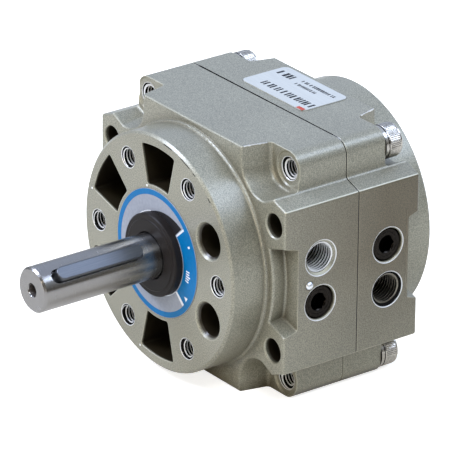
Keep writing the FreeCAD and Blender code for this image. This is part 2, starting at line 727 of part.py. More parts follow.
def stopper():
    """Fixed sector shoe that parts the chamber, with flat sides facing the vane at both ends of its swing."""
    y0 = CHAMBER_FRONT_Y
    y1 = CHAMBER_REAR_Y
    apex = (JACKET_HALF + STOPPER_GAP) / math.sin(math.radians(REST_ANGLE))
    far = 2 * CHAMBER_R
    rise = (far - apex) * math.tan(math.radians(REST_ANGLE))
    wedge = prism([(apex, 0, 0), (far, -rise, 0), (far, rise, 0)], y0, y1)
    shoe = wedge.common(rod(CHAMBER_R, y0, y1))
    shoe = shoe.fuse(box(CHAMBER_R - TONGUE_SINK, TONGUE_R, y0, y1, -TONGUE_HALF, TONGUE_HALF))
    cutters = [
        rod(HUB_R + STOPPER_HUB_GAP, y0 - 1, y1 + 1),
        stopper_seal_cutter(STOPPER_SEAL_HUB_GAP),
    ]
    for y, z, is_open in ports():
        passage_r = PASSAGE_R if is_open else PLUGGED_PASSAGE_R
        cutters.append(Part.makeCylinder(passage_r, 2 * CHAMBER_R, V(0, y, z), V(1, 0, 0)))
    return shoe.cut(cutters)


def stopper_seal():
    band = stopper_seal_cutter(STOPPER_SEAL_HUB_GAP)
    return band.cut(rod(HUB_R + STOPPER_SEAL_HUB_GAP, CHAMBER_FRONT_Y - 1, CHAMBER_REAR_Y + 1))


def seal_ring(y0, y1, groove_y):
    """Metal ring that closes the bearing bore towards the chamber and holds the shaft O-ring."""
    bore_r = SHOULDER_R + RUNNING_GAP
    return turned([
        (bore_r, y0),
        (BEARING_OUTER_R, y0),
        (BEARING_OUTER_R, y1),
        (bore_r, y1),
        (bore_r, groove_y + SHAFT_RING_WIDTH),
        (SHAFT_RING_R, groove_y + SHAFT_RING_WIDTH),
        (SHAFT_RING_R, groove_y),
        (bore_r, groove_y),
    ])


def shaft_oring(groove_y):
    """Rounded rubber ring that fills the groove of a seal ring."""
    inner = SHOULDER_R + SHAFT_RING_GAP
    ring = turned([
        (inner, groove_y),
        (SHAFT_RING_R, groove_y),
        (SHAFT_RING_R, groove_y + SHAFT_RING_WIDTH),
        (inner, groove_y + SHAFT_RING_WIDTH),
    ])
    inside = [e for e in ring.Edges if abs(e.BoundBox.XMax - inner) < 1e-6 and e.BoundBox.YLength < 1e-6]
    return ring.makeFillet(0.4 * SHAFT_RING_WIDTH, inside)


def race_groove(y):
    return Part.makeTorus(BALL_PITCH_R, RACE_GROOVE_R, V(0, y, 0), ALONG)


def bearing_outer(y0):
    y1 = y0 + BEARING_WIDTH
    ring = rod(BEARING_OUTER_R, y0, y1).cut(rod(BALL_PITCH_R + RACE_LAND, y0 - 1, y1 + 1))
    return ring.cut(race_groove(y0 + BEARING_WIDTH / 2))


def bearing_inner(y0):
    y1 = y0 + BEARING_WIDTH
    ring = rod(BALL_PITCH_R - RACE_LAND, y0, y1).cut(rod(SHAFT_R, y0 - 1, y1 + 1))
    return ring.cut(race_groove(y0 + BEARING_WIDTH / 2))


def ball_places(y0):
    return [on_circle(BALL_PITCH_R, i * 360 / BALL_COUNT, y0 + BEARING_WIDTH / 2) for i in range(BALL_COUNT)]


def bearing_balls(y0):
    return Part.Compound([Part.makeSphere(BALL_R, at) for at in ball_places(y0)])


def bearing_cage(y0):
    middle = y0 + BEARING_WIDTH / 2
    ring = rod(BALL_PITCH_R + CAGE_HALF_THICKNESS, middle - CAGE_HALF_WIDTH, middle + CAGE_HALF_WIDTH)
    bore = rod(BALL_PITCH_R - CAGE_HALF_THICKNESS, middle - CAGE_HALF_WIDTH - 1, middle + CAGE_HALF_WIDTH + 1)
    ring = ring.cut(bore)
    axis_point = V(0, middle, 0)
    reach = BALL_PITCH_R + BALL_R
    pockets = [Part.makeCylinder(CAGE_POCKET_R, reach, axis_point, at - axis_point) for at in ball_places(y0)]
    return ring.cut(pockets)


def cap(face_y, outward):
    """Black cap round the shaft, held by its inner flange between the casting and the bearing."""
    inner_end = CAP_FLANGE_Y + CAP_FLANGE_THICKNESS
    flange_r = BEARING_OUTER_R - CAP_FLANGE_GAP
    steps = [
        (CAP_BORE_R, -CAP_RISE),
        (CAP_STEP_R - CAP_STEP, -CAP_RISE),
        (CAP_STEP_R, -CAP_RISE + CAP_STEP),
        (CAP_R - CAP_EDGE_CHAMFER, -CAP_RISE + CAP_STEP),
        (CAP_R, -CAP_RISE + CAP_STEP + CAP_EDGE_CHAMFER),
        (CAP_R, CAP_FLANGE_Y),
        (flange_r, CAP_FLANGE_Y),
        (flange_r, inner_end),
        (CAP_RELIEF_R, inner_end),
        (CAP_RELIEF_R, inner_end - CAP_RELIEF_DEPTH),
        (CAP_BORE_R, inner_end - CAP_RELIEF_DEPTH),
    ]
    return turned([(r, face_y - outward * y) for r, y in steps])


def hex_socket(flats, length, at, direction):
    """Six-sided prism for a key socket, from a point along a direction of X or Y."""
    radius = flats / math.sqrt(3)
    points = []
    for i in range(7):
        a = math.radians(60 * i)
        if abs(direction.x) > 0.5:
            points.append(at + V(0, radius * math.cos(a), radius * math.sin(a)))
        else:
            points.append(at + V(radius * math.cos(a), 0, radius * math.sin(a)))
    return Part.Face(Part.makePolygon(points)).extrude(direction * length)


def tie_bolt(x, z):
    """Socket head cap screw that enters from the rear and ends in the tapped boss of the front body."""
    seat_y = BLOCK_REAR_Y - POCKET_DEPTH_REAR + WASHER_THICKNESS
    head_end = seat_y + TIE_HEAD_HEIGHT
    tip = seat_y - TIE_LENGTH
    screw = turned([
        (0, tip),
        (TIE_TAP_R - TIE_TIP_CHAMFER, tip),
        (TIE_TAP_R - TIE_THREAD_GAP, tip + TIE_TIP_CHAMFER),
        (TIE_TAP_R - TIE_THREAD_GAP, PARTING_Y),
        (TIE_SHANK_R, PARTING_Y + TIE_SHANK_R - TIE_TAP_R),
        (TIE_SHANK_R, seat_y),
        (TIE_HEAD_R, seat_y),
        (TIE_HEAD_R, head_end - TIE_HEAD_CHAMFER),
        (TIE_HEAD_R - TIE_HEAD_CHAMFER, head_end),
        (0, head_end),
    ])
    socket = hex_socket(TIE_SOCKET_FLATS, TIE_SOCKET_DEPTH, V(0, head_end, 0), V(0, -1, 0))
    screw = screw.cut(socket)
    screw.translate(V(x, 0, z))
    return screw


def spring_washer(x, z):
    """Split ring under the head of a tie bolt."""
    y0 = BLOCK_REAR_Y - POCKET_DEPTH_REAR
    y1 = y0 + WASHER_THICKNESS
    ring = rod(WASHER_OUTER_R, y0, y1, x, z).cut(rod(WASHER_INNER_R, y0 - 1, y1 + 1, x, z))
    slit = box(0, 2 * WASHER_OUTER_R, y0 - 1, y1 + 1, -WASHER_SLIT / 2, WASHER_SLIT / 2)
    slit.rotate(ORIGIN, SWING_AXIS, 180 + math.degrees(math.atan2(z, x)))
    slit.translate(V(x, 0, z))
    return ring.cut(slit)


def port_plug(y, z):
    """Taper plug with a hexagon socket, sunk a little below the port face."""
    top = V(PORT_FACE_X - PLUG_SINK, y, z)
    inward = V(-1, 0, 0)
    plug = Part.makeCylinder(PLUG_R, PLUG_LENGTH, top, inward)
    face = [e for e in plug.Edges if abs(e.BoundBox.XMin - top.x) < 1e-6]
    plug = plug.makeChamfer(PLUG_EDGE_CHAMFER, face)
    socket_r = PLUG_SOCKET_FLATS / 2
    rim = Part.makeCone(socket_r + PLUG_SOCKET_RIM, socket_r, PLUG_SOCKET_RIM, top, inward)
    return plug.cut([hex_socket(PLUG_SOCKET_FLATS, PLUG_SOCKET_DEPTH, top, inward), rim])


def passage_ball():
    centre = V(PORT_FACE_X + PASSAGE_BALL_SINK - PASSAGE_BALL_R, PASSAGE_BALL_Y, PASSAGE_BALL_Z)
    return Part.makeSphere(PASSAGE_BALL_R, centre)


def nameplate():
    half_x = NAMEPLATE_LENGTH / 2
    y1 = BLOCK_REAR_Y - NAMEPLATE_MARGIN
    sheet = box(
        NAMEPLATE_X - half_x, NAMEPLATE_X + half_x,
        y1 - NAMEPLATE_WIDTH, y1,
        PAD_Z, PAD_Z + NAMEPLATE_THICKNESS,
    )
    return sheet.makeFillet(NAMEPLATE_CORNER_R, edges_along(sheet, V(0, 0, 1)))


def dial_label():
    return rod(DIAL_OUTER_R, -DIAL_THICKNESS, 0).cut(rod(CAP_R, -1, 1))


def all_parts():
    """Every piece by its node name."""
    parts = {
        "front_body": front_body(),
        "rear_body": rear_body(),
        "vane_shaft": vane_shaft(),
        "vane_jacket": vane_jacket(),
        "shaft_key": shaft_key(),
        "stopper": stopper(),
        "stopper_seal": stopper_seal(),
        "body_oring": body_oring(),
        "front_cap": cap(0, -1),
        "rear_cap": cap(BODY_LENGTH, 1),
        "front_seal_ring": seal_ring(FRONT_BEARING_Y + BEARING_WIDTH, CHAMBER_FRONT_Y, FRONT_RING_Y),
        "rear_seal_ring": seal_ring(CHAMBER_REAR_Y, REAR_BEARING_Y, REAR_RING_Y),
        "front_shaft_oring": shaft_oring(FRONT_RING_Y),
        "rear_shaft_oring": shaft_oring(REAR_RING_Y),
        "front_port_plug": port_plug(PORT_FRONT_Y, -PLUGGED_PORT_Z),
        "rear_port_plug": port_plug(PORT_REAR_Y, PLUGGED_PORT_Z),
        "passage_ball": passage_ball(),
        "nameplate": nameplate(),
        "dial_label": dial_label(),
    }
    for end, y0 in (("front", FRONT_BEARING_Y), ("rear", REAR_BEARING_Y)):
        parts[end + "_bearing_outer"] = bearing_outer(y0)
        parts[end + "_bearing_inner"] = bearing_inner(y0)
        parts[end + "_bearing_balls"] = bearing_balls(y0)
        parts[end + "_bearing_cage"] = bearing_cage(y0)
    for i, (x, z) in enumerate(tie_places(), start=1):
        parts["tie_bolt_%d" % i] = tie_bolt(x, z)
        parts["spring_washer_%d" % i] = spring_washer(x, z)
    return parts


HOUSING = housing()
os.makedirs("parts", exist_ok=True)
for name, shape in all_parts().items():
    shape.exportStep("parts/%s.step" % name)
    print(name, len(shape.Solids), shape.isValid(), round(shape.Volume))
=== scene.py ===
import math
import random

import bmesh
import bpy
from bpy.props import FloatProperty, FloatVectorProperty, IntProperty, PointerProperty
from mathutils import Matrix, Vector


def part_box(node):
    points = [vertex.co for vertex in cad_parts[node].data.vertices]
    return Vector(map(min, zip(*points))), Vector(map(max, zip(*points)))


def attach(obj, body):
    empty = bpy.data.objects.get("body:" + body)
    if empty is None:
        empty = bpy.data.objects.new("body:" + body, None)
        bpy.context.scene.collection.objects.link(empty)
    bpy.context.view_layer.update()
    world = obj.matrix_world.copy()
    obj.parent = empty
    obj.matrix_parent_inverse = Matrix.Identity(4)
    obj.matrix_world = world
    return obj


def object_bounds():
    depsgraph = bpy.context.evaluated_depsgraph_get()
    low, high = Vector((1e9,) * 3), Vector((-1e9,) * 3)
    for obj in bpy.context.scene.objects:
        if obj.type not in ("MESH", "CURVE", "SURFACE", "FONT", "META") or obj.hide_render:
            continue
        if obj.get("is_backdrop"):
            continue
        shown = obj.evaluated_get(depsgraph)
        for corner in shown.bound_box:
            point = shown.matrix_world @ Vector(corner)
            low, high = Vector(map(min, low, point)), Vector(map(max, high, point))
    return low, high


bl_info = {
    "name": "Rotary vane actuator",
    "version": (1, 0, 0),
    "blender": (4, 5, 0),
    "location": "3D View > Sidebar > Vane Actuator",
    "description": "Finishes, threads, printed labels and studio for a rotary vane actuator",
    "category": "Object",
}

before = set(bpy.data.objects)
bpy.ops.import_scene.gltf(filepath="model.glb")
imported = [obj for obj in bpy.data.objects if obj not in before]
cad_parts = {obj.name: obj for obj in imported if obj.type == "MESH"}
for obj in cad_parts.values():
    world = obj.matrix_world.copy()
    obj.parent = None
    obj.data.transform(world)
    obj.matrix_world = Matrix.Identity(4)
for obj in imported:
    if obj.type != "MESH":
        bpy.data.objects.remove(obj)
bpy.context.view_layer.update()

MM = 0.001

# Places and sizes that the castings give, in millimetres
FACE_Y = 0.0
REAR_FACE_Y = 90.0
FACE_R = 45.0
FACE_CHAMFER = 0.9
FACE_HOLLOWS_R = 42.6
PARTING_Y = 47.8
BLOCK_FRONT_Y = 15.0
BLOCK_REAR_Y = 75.3
PAD_Z = 48.0
# Half the width of the pads, up to the rounding of their sides
PAD_HALF = 39.5
PORT_FACE_X = 55.5
PORT_FACE_FOOT_Z = -34.0
# Line of flash on the port face: its place along the shaft, and its upper and lower ends
FLASH_Y = 70.0
FLASH_Z = (19.0, -13.5)
LUG_HOLE = (48.8, 24.3)
LUG_HOLE_R = 4.5
# Upper edges of the corner pockets on the right, from the mouth to the floor, as x and y
POCKET_EDGES = (((29.61, 15.9), (31.72, 24.8)), ((29.64, 74.4), (31.67, 66.9)))

# Tapped holes
SCREW_CIRCLE_R = 36.0
SCREW_R = 3.4
REAR_SCREW_R = 2.5
SCREW_RIM_WIDTH = 0.75
SCREW_RIM_DEPTH = 0.43
SCREW_LENGTH = 12.4
TIE_X = 42.0
TIE_Z = 41.0
TIE_BOSS_Y = 26.4
TIE_REAR_Y = 65.3
TIE_SPOT_DEPTH = 0.5
TIE_MOUTH_R = 4.5
TIE_MOUTH_DEPTH = 1.1
TIE_LENGTH = 15.0

# Ports, with their centres as y and z, and the box that they and their passages lie in
OPEN_PORTS = ((31.0, 10.2), (61.4, -10.2))
PLUGGED_PORTS = ((31.0, -7.2), (61.4, 7.2))
PORT_MOUTH_R = 7.0
PORT_MOUTH_DEPTH = 0.875
PORT_WALL_R = 5.75
PORT_CREST_R = 5.17
PORT_LENGTH = 12.9
# Width of the chamfer at an open port for each millimetre of its depth
PORT_SLOPE = 1.43
PLUG_SEAT_R = 6.5
PLUG_SEAT_DEPTH = 0.35
PORTS_X = (15.0, 54.5)
PORTS_Y = (22.0, 69.0)
PORTS_Z = (-17.0, 17.0)

# Centre drill in the end of the shaft
DRILL_MOUTH_R = 2.7
DRILL_R = 1.3
DRILL_CONE = 2.425
DRILL_LENGTH = 6.8

# Half width of a thread's crest at its foot, as a share of the pitch
CREST_HALF = 0.155

# Dial: radii of the blue ring and of the sector inside it, and half the angle of the sector
RING_R = (21.9, 23.98)
SECTOR_R = (16.1, 21.91)
SECTOR_HALF = 42

# Small patch on the nameplate: its corner from the plate's own, and its size
PATCH_CORNER = (32.6, 0.15)
PATCH_SIZE = (3.8, 1.7)

# Middle of the picture: along the shaft, then to the right and up as the camera sees it
CAMERA_AIM = (40.241, -7.985, 0.427)


def srgb(text, alpha=1.0):
    """Linear colour from an sRGB hex value."""
    values = [int(text[i:i + 2], 16) / 255 for i in (1, 3, 5)]
    linear = [v / 12.92 if v <= 0.04045 else ((v + 0.055) / 1.055) ** 2.4 for v in values]
    return (*linear, alpha)


def shade(colour, share):
    """A linear colour made darker or lighter by a share."""
    return (*(Vector(colour[:3]) * share), 1.0)


def per_mm(size):
    """Texture scale at which one feature of a pattern is that many millimetres wide."""
    return 1 / (size * MM)


# Sizes and colours that a user would change

class CastingSettings(bpy.types.PropertyGroup):
    paint: FloatVectorProperty(
        name="Paint", description="Champagne-grey enamel of the castings",
        subtype="COLOR", size=4, min=0, max=1, default=srgb("#959281"))
    flake: FloatProperty(
        name="Flake", description="Width of the speckle in the metallic enamel",
        unit="LENGTH", precision=5, default=0.42 * MM)
    edge: FloatProperty(
        name="Edge rounding", description="Radius at which the cast edges catch the light",
        unit="LENGTH", precision=5, default=0.6 * MM)
    seam: FloatProperty(
        name="Seam", description="Half width of the dark line where the castings meet",
        unit="LENGTH", precision=5, default=0.34 * MM)
    # Width of the black strip of painted shade in the joint on the upper pad.
    joint: FloatProperty(
        name="Joint", description="Width of the sealant that stands in the joint on the upper pad",
        unit="LENGTH", precision=5, default=0.85 * MM)


class ThreadSettings(bpy.types.PropertyGroup):
    screw_pitch: FloatProperty(
        name="Screw pitch", description="Pitch of the threads in the screw and tie bolt holes",
        unit="LENGTH", precision=5, default=1.25 * MM)
    port_pitch: FloatProperty(
        name="Port pitch", description="Pitch of the quarter inch pipe threads",
        unit="LENGTH", precision=5, default=1.337 * MM)
    metal: FloatVectorProperty(
        name="Cut aluminium", description="Bare metal of the chamfered mouths",
        subtype="COLOR", size=4, min=0, max=1, default=srgb("#ececea"))
    # A darker copy of the thread metal: painted shade for the rear port.
    shaded_metal: FloatVectorProperty(
        name="Oiled aluminium", description="Bare metal of the threads, dulled by oil",
        subtype="COLOR", size=4, min=0, max=1, default=srgb("#8f897c"))


class BoltSettings(bpy.types.PropertyGroup):
    teeth: IntProperty(
        name="Knurl teeth", description="Ridges round the head of a tie bolt", default=60, min=12, max=120)
    ridge: FloatProperty(
        name="Knurl height", description="How far the ridges stand out of the head",
        unit="LENGTH", precision=5, default=0.13 * MM)
    chrome: FloatVectorProperty(
        name="Bright plating", description="Colour of the plated screws",
        subtype="COLOR", size=4, min=0, max=1, default=srgb("#d1cbc0"))


class DialSettings(bpy.types.PropertyGroup):
    blue: FloatVectorProperty(
        name="Blue", description="Ink of the ring and the sector",
        subtype="COLOR", size=4, min=0, max=1, default=srgb("#006ba4"))
    field: FloatVectorProperty(
        name="Field", description="Grey lilac ground of the dial",
        subtype="COLOR", size=4, min=0, max=1, default=srgb("#979ca6"))
    ink: FloatProperty(
        name="Ink height", description="Thickness of the printed layer",
        unit="LENGTH", precision=5, default=0.03 * MM)


class NameplateSettings(bpy.types.PropertyGroup):
    foil: FloatVectorProperty(
        name="Foil", description="Pale blue grey ground of the nameplate",
        subtype="COLOR", size=4, min=0, max=1, default=srgb("#bbbdb9"))
    red: FloatVectorProperty(
        name="Red", description="Colour of the small plain patch",
        subtype="COLOR", size=4, min=0, max=1, default=srgb("#b04a3c"))


class StudioSettings(bpy.types.PropertyGroup):
    turn: FloatProperty(
        name="Turn", description="Camera angle round the vertical, from behind the shaft end",
        subtype="ANGLE", default=math.radians(52.962))
    height: FloatProperty(
        name="Height", description="Camera angle above the horizontal",
        subtype="ANGLE", default=math.radians(24.041))
    roll: FloatProperty(
        name="Roll", description="Camera roll", subtype="ANGLE", default=math.radians(0.5))
    distance: FloatProperty(
        name="Distance", description="From the camera to the middle of the housing",
        unit="LENGTH", default=1948.97 * MM)
    lens: FloatProperty(
        name="Lens", description="Focal length in millimetres", unit="CAMERA", default=429.216)
    world_light: FloatProperty(
        name="Sky", description="Strength of the soft light from above", default=1.05)
    key_light: FloatProperty(
        name="Key", description="Power of the large lamp above the front",
        unit="POWER", default=55.0)


# Materials

def add_node(tree, kind, values=None, links=None, stops=None, **settings):
    """Adds a node with its settings, the values of its inputs, its colour stops and the links into it."""
    made = tree.nodes.new(kind)
    for key, value in settings.items():
        setattr(made, key, value)
    for key, value in (values or {}).items():
        made.inputs[key].default_value = value
    for key, output in (links or {}).items():
        tree.links.new(output, made.inputs[key])
    for i, (position, colour) in enumerate(stops or ()):
        elements = made.color_ramp.elements
        element = elements[i] if i < len(elements) else elements.new(position)
        element.position = position
        element.color = colour
    return made


def new_material(name, **inputs):
    """A material with one shader and the values that are the same all over it."""
    material = bpy.data.materials.new(name)
    material.use_nodes = True
    tree = material.node_tree
    tree.nodes.clear()
    values = {key.replace("_", " "): value for key, value in inputs.items()}
    shader = add_node(tree, "ShaderNodeBsdfPrincipled", values)
    add_node(tree, "ShaderNodeOutputMaterial", links={"Surface": shader.outputs[0]})
    return material, tree, shader


def grained(tree, shader, pattern, stops, gloss=None, relief=None):
    """Ties a pattern to the colour of a shader, and to its roughness and its relief where they are given.

    Gloss is the least and the greatest roughness. Relief is the strength of the bump, its depth and the
    radius of the edges, both in millimetres.
    """
    tone = add_node(tree, "ShaderNodeValToRGB", links={0: pattern}, stops=stops)
    tree.links.new(tone.outputs[0], shader.inputs["Base Color"])
    if gloss:
        rough = add_node(
            tree, "ShaderNodeMapRange",
            {"From Min": 0.3, "From Max": 0.7, "To Min": gloss[0], "To Max": gloss[1]}, {"Value": pattern})
        tree.links.new(rough.outputs[0], shader.inputs["Roughness"])
    if relief:
        strength, depth, edge = relief
        rounded = add_node(tree, "ShaderNodeBevel", {"Radius": edge * MM}, samples=6)
        bump = add_node(
            tree, "ShaderNodeBump", {"Strength": strength, "Distance": depth * MM},
            {"Height": pattern, "Normal": rounded.outputs[0]})
        tree.links.new(bump.outputs[0], shader.inputs["Normal"])


def near_axis(tree, point, centre, radius):
    """1 within a radius of an axis along the shaft direction, all in millimetres, in each quarter alike."""
    ways = add_node(tree, "ShaderNodeVectorMath", links={0: point}, operation="ABSOLUTE")
    away = add_node(
        tree, "ShaderNodeVectorMath", {1: (centre[0] * MM, 0, centre[1] * MM)}, {0: ways.outputs[0]},
        operation="SUBTRACT")
    flat = add_node(tree, "ShaderNodeVectorMath", {1: (1, 0, 1)}, {0: away.outputs[0]}, operation="MULTIPLY")
    length = add_node(tree, "ShaderNodeVectorMath", links={0: flat.outputs[0]}, operation="LENGTH")
    return add_node(
        tree, "ShaderNodeMapRange",
        {"From Min": radius * MM, "From Max": (radius - 0.15) * MM, "To Min": 0.0, "To Max": 1.0},
        {"Value": length.outputs["Value"]}).outputs[0]


def between(tree, value, low, high, fade, unit=MM):
    """1 where a coordinate lies between two places, fading over a width inside both, in millimetres."""
    rise = add_node(
        tree, "ShaderNodeMapRange",
        {"From Min": low * unit, "From Max": (low + fade) * unit}, {"Value": value})
    fall = add_node(
        tree, "ShaderNodeMapRange",
        {"From Min": high * unit, "From Max": (high - fade) * unit}, {"Value": value})
    both = add_node(
        tree, "ShaderNodeMath", links={0: rise.outputs[0], 1: fall.outputs[0]}, operation="MULTIPLY")
    return both.outputs[0]


def shaded_hollows(tree, point):
    """1 inside the windows, screw holes, lug holes and ports of the castings, where shade is painted in."""
    x, y, z = add_node(tree, "ShaderNodeSeparateXYZ", links={0: point}).outputs
    found = None
    for first, *others in (
        (near_axis(tree, point, (0, 0), FACE_HOLLOWS_R),
         between(tree, y, FACE_Y + 0.3, REAR_FACE_Y - 0.3, 0.7)),
        (near_axis(tree, point, LUG_HOLE, LUG_HOLE_R + 0.3),
         between(tree, y, BLOCK_FRONT_Y + 0.5, BLOCK_REAR_Y - 0.5, 1.5)),
        (near_axis(tree, point, (TIE_X, TIE_Z), TIE_MOUTH_R - 0.2),
         between(tree, y, TIE_BOSS_Y + 0.8, TIE_REAR_Y - 1.3, 1.0)),
        (between(tree, x, *PORTS_X, 1.2), between(tree, y, *PORTS_Y, 0.5), between(tree, z, *PORTS_Z, 0.5)),
    ):
        inside = first
        for other in others:
            inside = add_node(
                tree, "ShaderNodeMath", links={0: inside, 1: other}, operation="MULTIPLY").outputs[0]
        if found is None:
            found = inside
        else:
            found = add_node(
                tree, "ShaderNodeMath", links={0: found, 1: inside}, operation="MAXIMUM").outputs[0]
    return found


def painted_edge_highlights(tree, point):
    """1 on the rounded upper and lower edges of the port faces, where the normal turns; these edges get a
    painted highlight.
    """
    place = add_node(tree, "ShaderNodeVectorMath", links={0: point}, operation="ABSOLUTE")
    normal = add_node(tree, "ShaderNodeNewGeometry").outputs["Normal"]
    turn = add_node(tree, "ShaderNodeVectorMath", links={0: normal}, operation="ABSOLUTE")
    x = add_node(tree, "ShaderNodeSeparateXYZ", links={0: place.outputs[0]}).outputs["X"]
    steep = add_node(tree, "ShaderNodeSeparateXYZ", links={0: turn.outputs[0]}).outputs["Z"]
    near = between(tree, x, PORT_FACE_X - 1.0, PORT_FACE_X, 0.02)
    turned = between(tree, steep, 0.35, 0.93, 0.2, 1.0)
    return add_node(tree, "ShaderNodeMath", links={0: near, 1: turned}, operation="MULTIPLY").outputs[0]


def champagne_enamel(settings):
    """Metallic stoving enamel on die-cast aluminium: satin, with fine flake, and thin over the edges; its
    colour also carries painted edge highlights and painted shade.
    """
    material, tree, shader = new_material(
        "champagne_enamel_on_die_casting", Metallic=0.55, Coat_Weight=0.6, Coat_Roughness=0.24)
    point = add_node(tree, "ShaderNodeTexCoord").outputs["Object"]
    x, y, z = add_node(tree, "ShaderNodeSeparateXYZ", links={0: point}).outputs
    # Flake gives the colour its salt-and-pepper grain; real flake is finer than half a millimetre.
    flake = add_node(
        tree, "ShaderNodeTexNoise", {"Scale": per_mm(settings.flake / MM), "Detail": 2.0, "Roughness": 0.6},
        {"Vector": point})
    grain = add_node(
        tree, "ShaderNodeValToRGB", links={0: flake.outputs[0]},
        stops=(
            (0.36, shade(settings.paint, 0.7)),
            (0.50, shade(settings.paint, 1.0)),
            (0.64, shade(settings.paint, 1.32))))
    # Slow change of film thickness over some 30 mm.
    cloud = add_node(
        tree, "ShaderNodeTexNoise", {"Scale": per_mm(30.0), "Detail": 2.0}, {"Vector": point})
    tone = add_node(
        tree, "ShaderNodeMapRange", {"From Min": 0.3, "From Max": 0.7, "To Min": 0.94, "To Max": 1.05},
        {"Value": cloud.outputs[0]})
    toned = add_node(
        tree, "ShaderNodeVectorMath", operation="SCALE",
        links={0: grain.outputs[0], "Scale": tone.outputs[0]})
    # The edges are painted lighter, partly as thin film and partly as a painted highlight of the light that
    # rounded edges catch; where the normal turns, an edge is near.
    rounded = add_node(tree, "ShaderNodeBevel", {"Radius": settings.edge}, samples=6)
    true = add_node(tree, "ShaderNodeNewGeometry").outputs["Normal"]
    turned = add_node(
        tree, "ShaderNodeVectorMath", links={0: rounded.outputs[0], 1: true}, operation="DOT_PRODUCT")
    near_edge = add_node(
        tree, "ShaderNodeMapRange", {"From Min": 0.993, "From Max": 0.93}, {"Value": turned.outputs["Value"]})
    # Painted shade: ambient occlusion darkens the inside corners towards brown, which also hides the lighter
    # edges there.
    open_air = add_node(tree, "ShaderNodeAmbientOcclusion", {"Distance": 5.0 * MM}, samples=6)
    clear = add_node(
        tree, "ShaderNodeMapRange", {"From Min": 0.2, "From Max": 0.9}, {"Value": open_air.outputs["AO"]})
    edges = add_node(
        tree, "ShaderNodeMath", operation="MAXIMUM",
        links={0: near_edge.outputs[0], 1: painted_edge_highlights(tree, point)})
    bare_and_highlit = add_node(
        tree, "ShaderNodeMath", links={0: edges.outputs[0], 1: clear.outputs[0]}, operation="MULTIPLY")
    # The chamfers round the two faces were painted after the casting was turned, so they get little of the
    # painted edge highlight and wear.
    chamfered = add_node(
        tree, "ShaderNodeMath", operation="MAXIMUM",
        links={0: near_axis(tree, point, (0, 0), FACE_R - FACE_CHAMFER - 0.3),
               1: between(tree, y, FACE_Y + FACE_CHAMFER + 0.2, REAR_FACE_Y - FACE_CHAMFER - 0.2, 0.2)})
    shown = add_node(
        tree, "ShaderNodeMapRange", {"To Min": 0.15, "To Max": 1.0}, {"Value": chamfered.outputs[0]})
    lighter = add_node(
        tree, "ShaderNodeMath", links={0: bare_and_highlit.outputs[0], 1: shown.outputs[0]}, operation="MULTIPLY")
    # Painted highlight and wear: a lighter copy of the paint on the edges.
    edges_lightened = add_node(
        tree, "ShaderNodeMix", {7: shade(settings.paint, 1.75)},
        {0: lighter.outputs[0], 6: toned.outputs[0]}, data_type="RGBA")
    # Painted shade in the inside corners.
    corner_shaded = add_node(
        tree, "ShaderNodeMix", {6: srgb("#4e4634")}, {0: clear.outputs[0], 7: edges_lightened.outputs[2]},
        data_type="RGBA")
    # Painted shade in the hollows: brown near the mouth and almost black where little light comes.
    hollow_shade_colour = add_node(
        tree, "ShaderNodeMix", {6: srgb("#0b0805"), 7: srgb("#2f2717")}, {0: clear.outputs[0]},
        data_type="RGBA")
    with_hollow_shade = add_node(
        tree, "ShaderNodeMix", links={0: shaded_hollows(tree, point), 6: corner_shaded.outputs[2], 7: hollow_shade_colour.outputs[2]},
        data_type="RGBA")
    # Painted shade: the port face is darkened brown, most of it towards the rear and the top.
    slope = add_node(
        tree, "ShaderNodeMath", operation="MULTIPLY",
        links={0: between(tree, y, -15, 150, 75), 1: between(tree, z, -55, 90, 60)})
    port_shade = add_node(
        tree, "ShaderNodeMath", operation="MULTIPLY",
        links={0: between(tree, x, PORT_FACE_X - 0.25, PORT_FACE_X + 0.4, 0.15), 1: slope.outputs[0]})
    port_shaded = add_node(
        tree, "ShaderNodeMix", {7: srgb("#aca08e")}, {0: port_shade.outputs[0], 6: with_hollow_shade.outputs[2]},
        data_type="RGBA", blend_type="MULTIPLY")
    # The joint is painted dark as the shade in its groove: wide on the pads, closing to a thin line on the
    # faces beside them.
    aside = add_node(tree, "ShaderNodeMath", links={0: x}, operation="ABSOLUTE")
    half = add_node(
        tree, "ShaderNodeMapRange",
        {"From Min": (PAD_HALF - 0.5) * MM, "From Max": (PAD_HALF + 5.5) * MM,
         "To Min": settings.seam, "To Max": settings.seam * 0.55},
        {"Value": aside.outputs[0]})
    from_joint = add_node(
        tree, "ShaderNodeMath", {1: PARTING_Y * MM}, {0: y}, operation="SUBTRACT")
    away = add_node(tree, "ShaderNodeMath", links={0: from_joint.outputs[0]}, operation="ABSOLUTE")
    dark = add_node(
        tree, "ShaderNodeMath", links={0: away.outputs[0], 1: half.outputs[0]}, operation="LESS_THAN")
    # Below the port faces the paint has run over the joint.
    seam = add_node(
        tree, "ShaderNodeMath", operation="MULTIPLY",
        links={0: dark.outputs[0], 1: between(tree, z, PORT_FACE_FOOT_Z, PAD_Z + 12, 0.5)})
    lined = add_node(
        tree, "ShaderNodeMix", {7: srgb("#0d0b09")}, {0: seam.outputs[0], 6: port_shaded.outputs[2]},
        data_type="RGBA")
    tree.links.new(lined.outputs[2], shader.inputs["Base Color"])
    sheen = add_node(
        tree, "ShaderNodeMapRange", {"From Min": 0.3, "From Max": 0.7, "To Min": 0.42, "To Max": 0.52},
        {"Value": flake.outputs[0]})
    tree.links.new(sheen.outputs[0], shader.inputs["Roughness"])
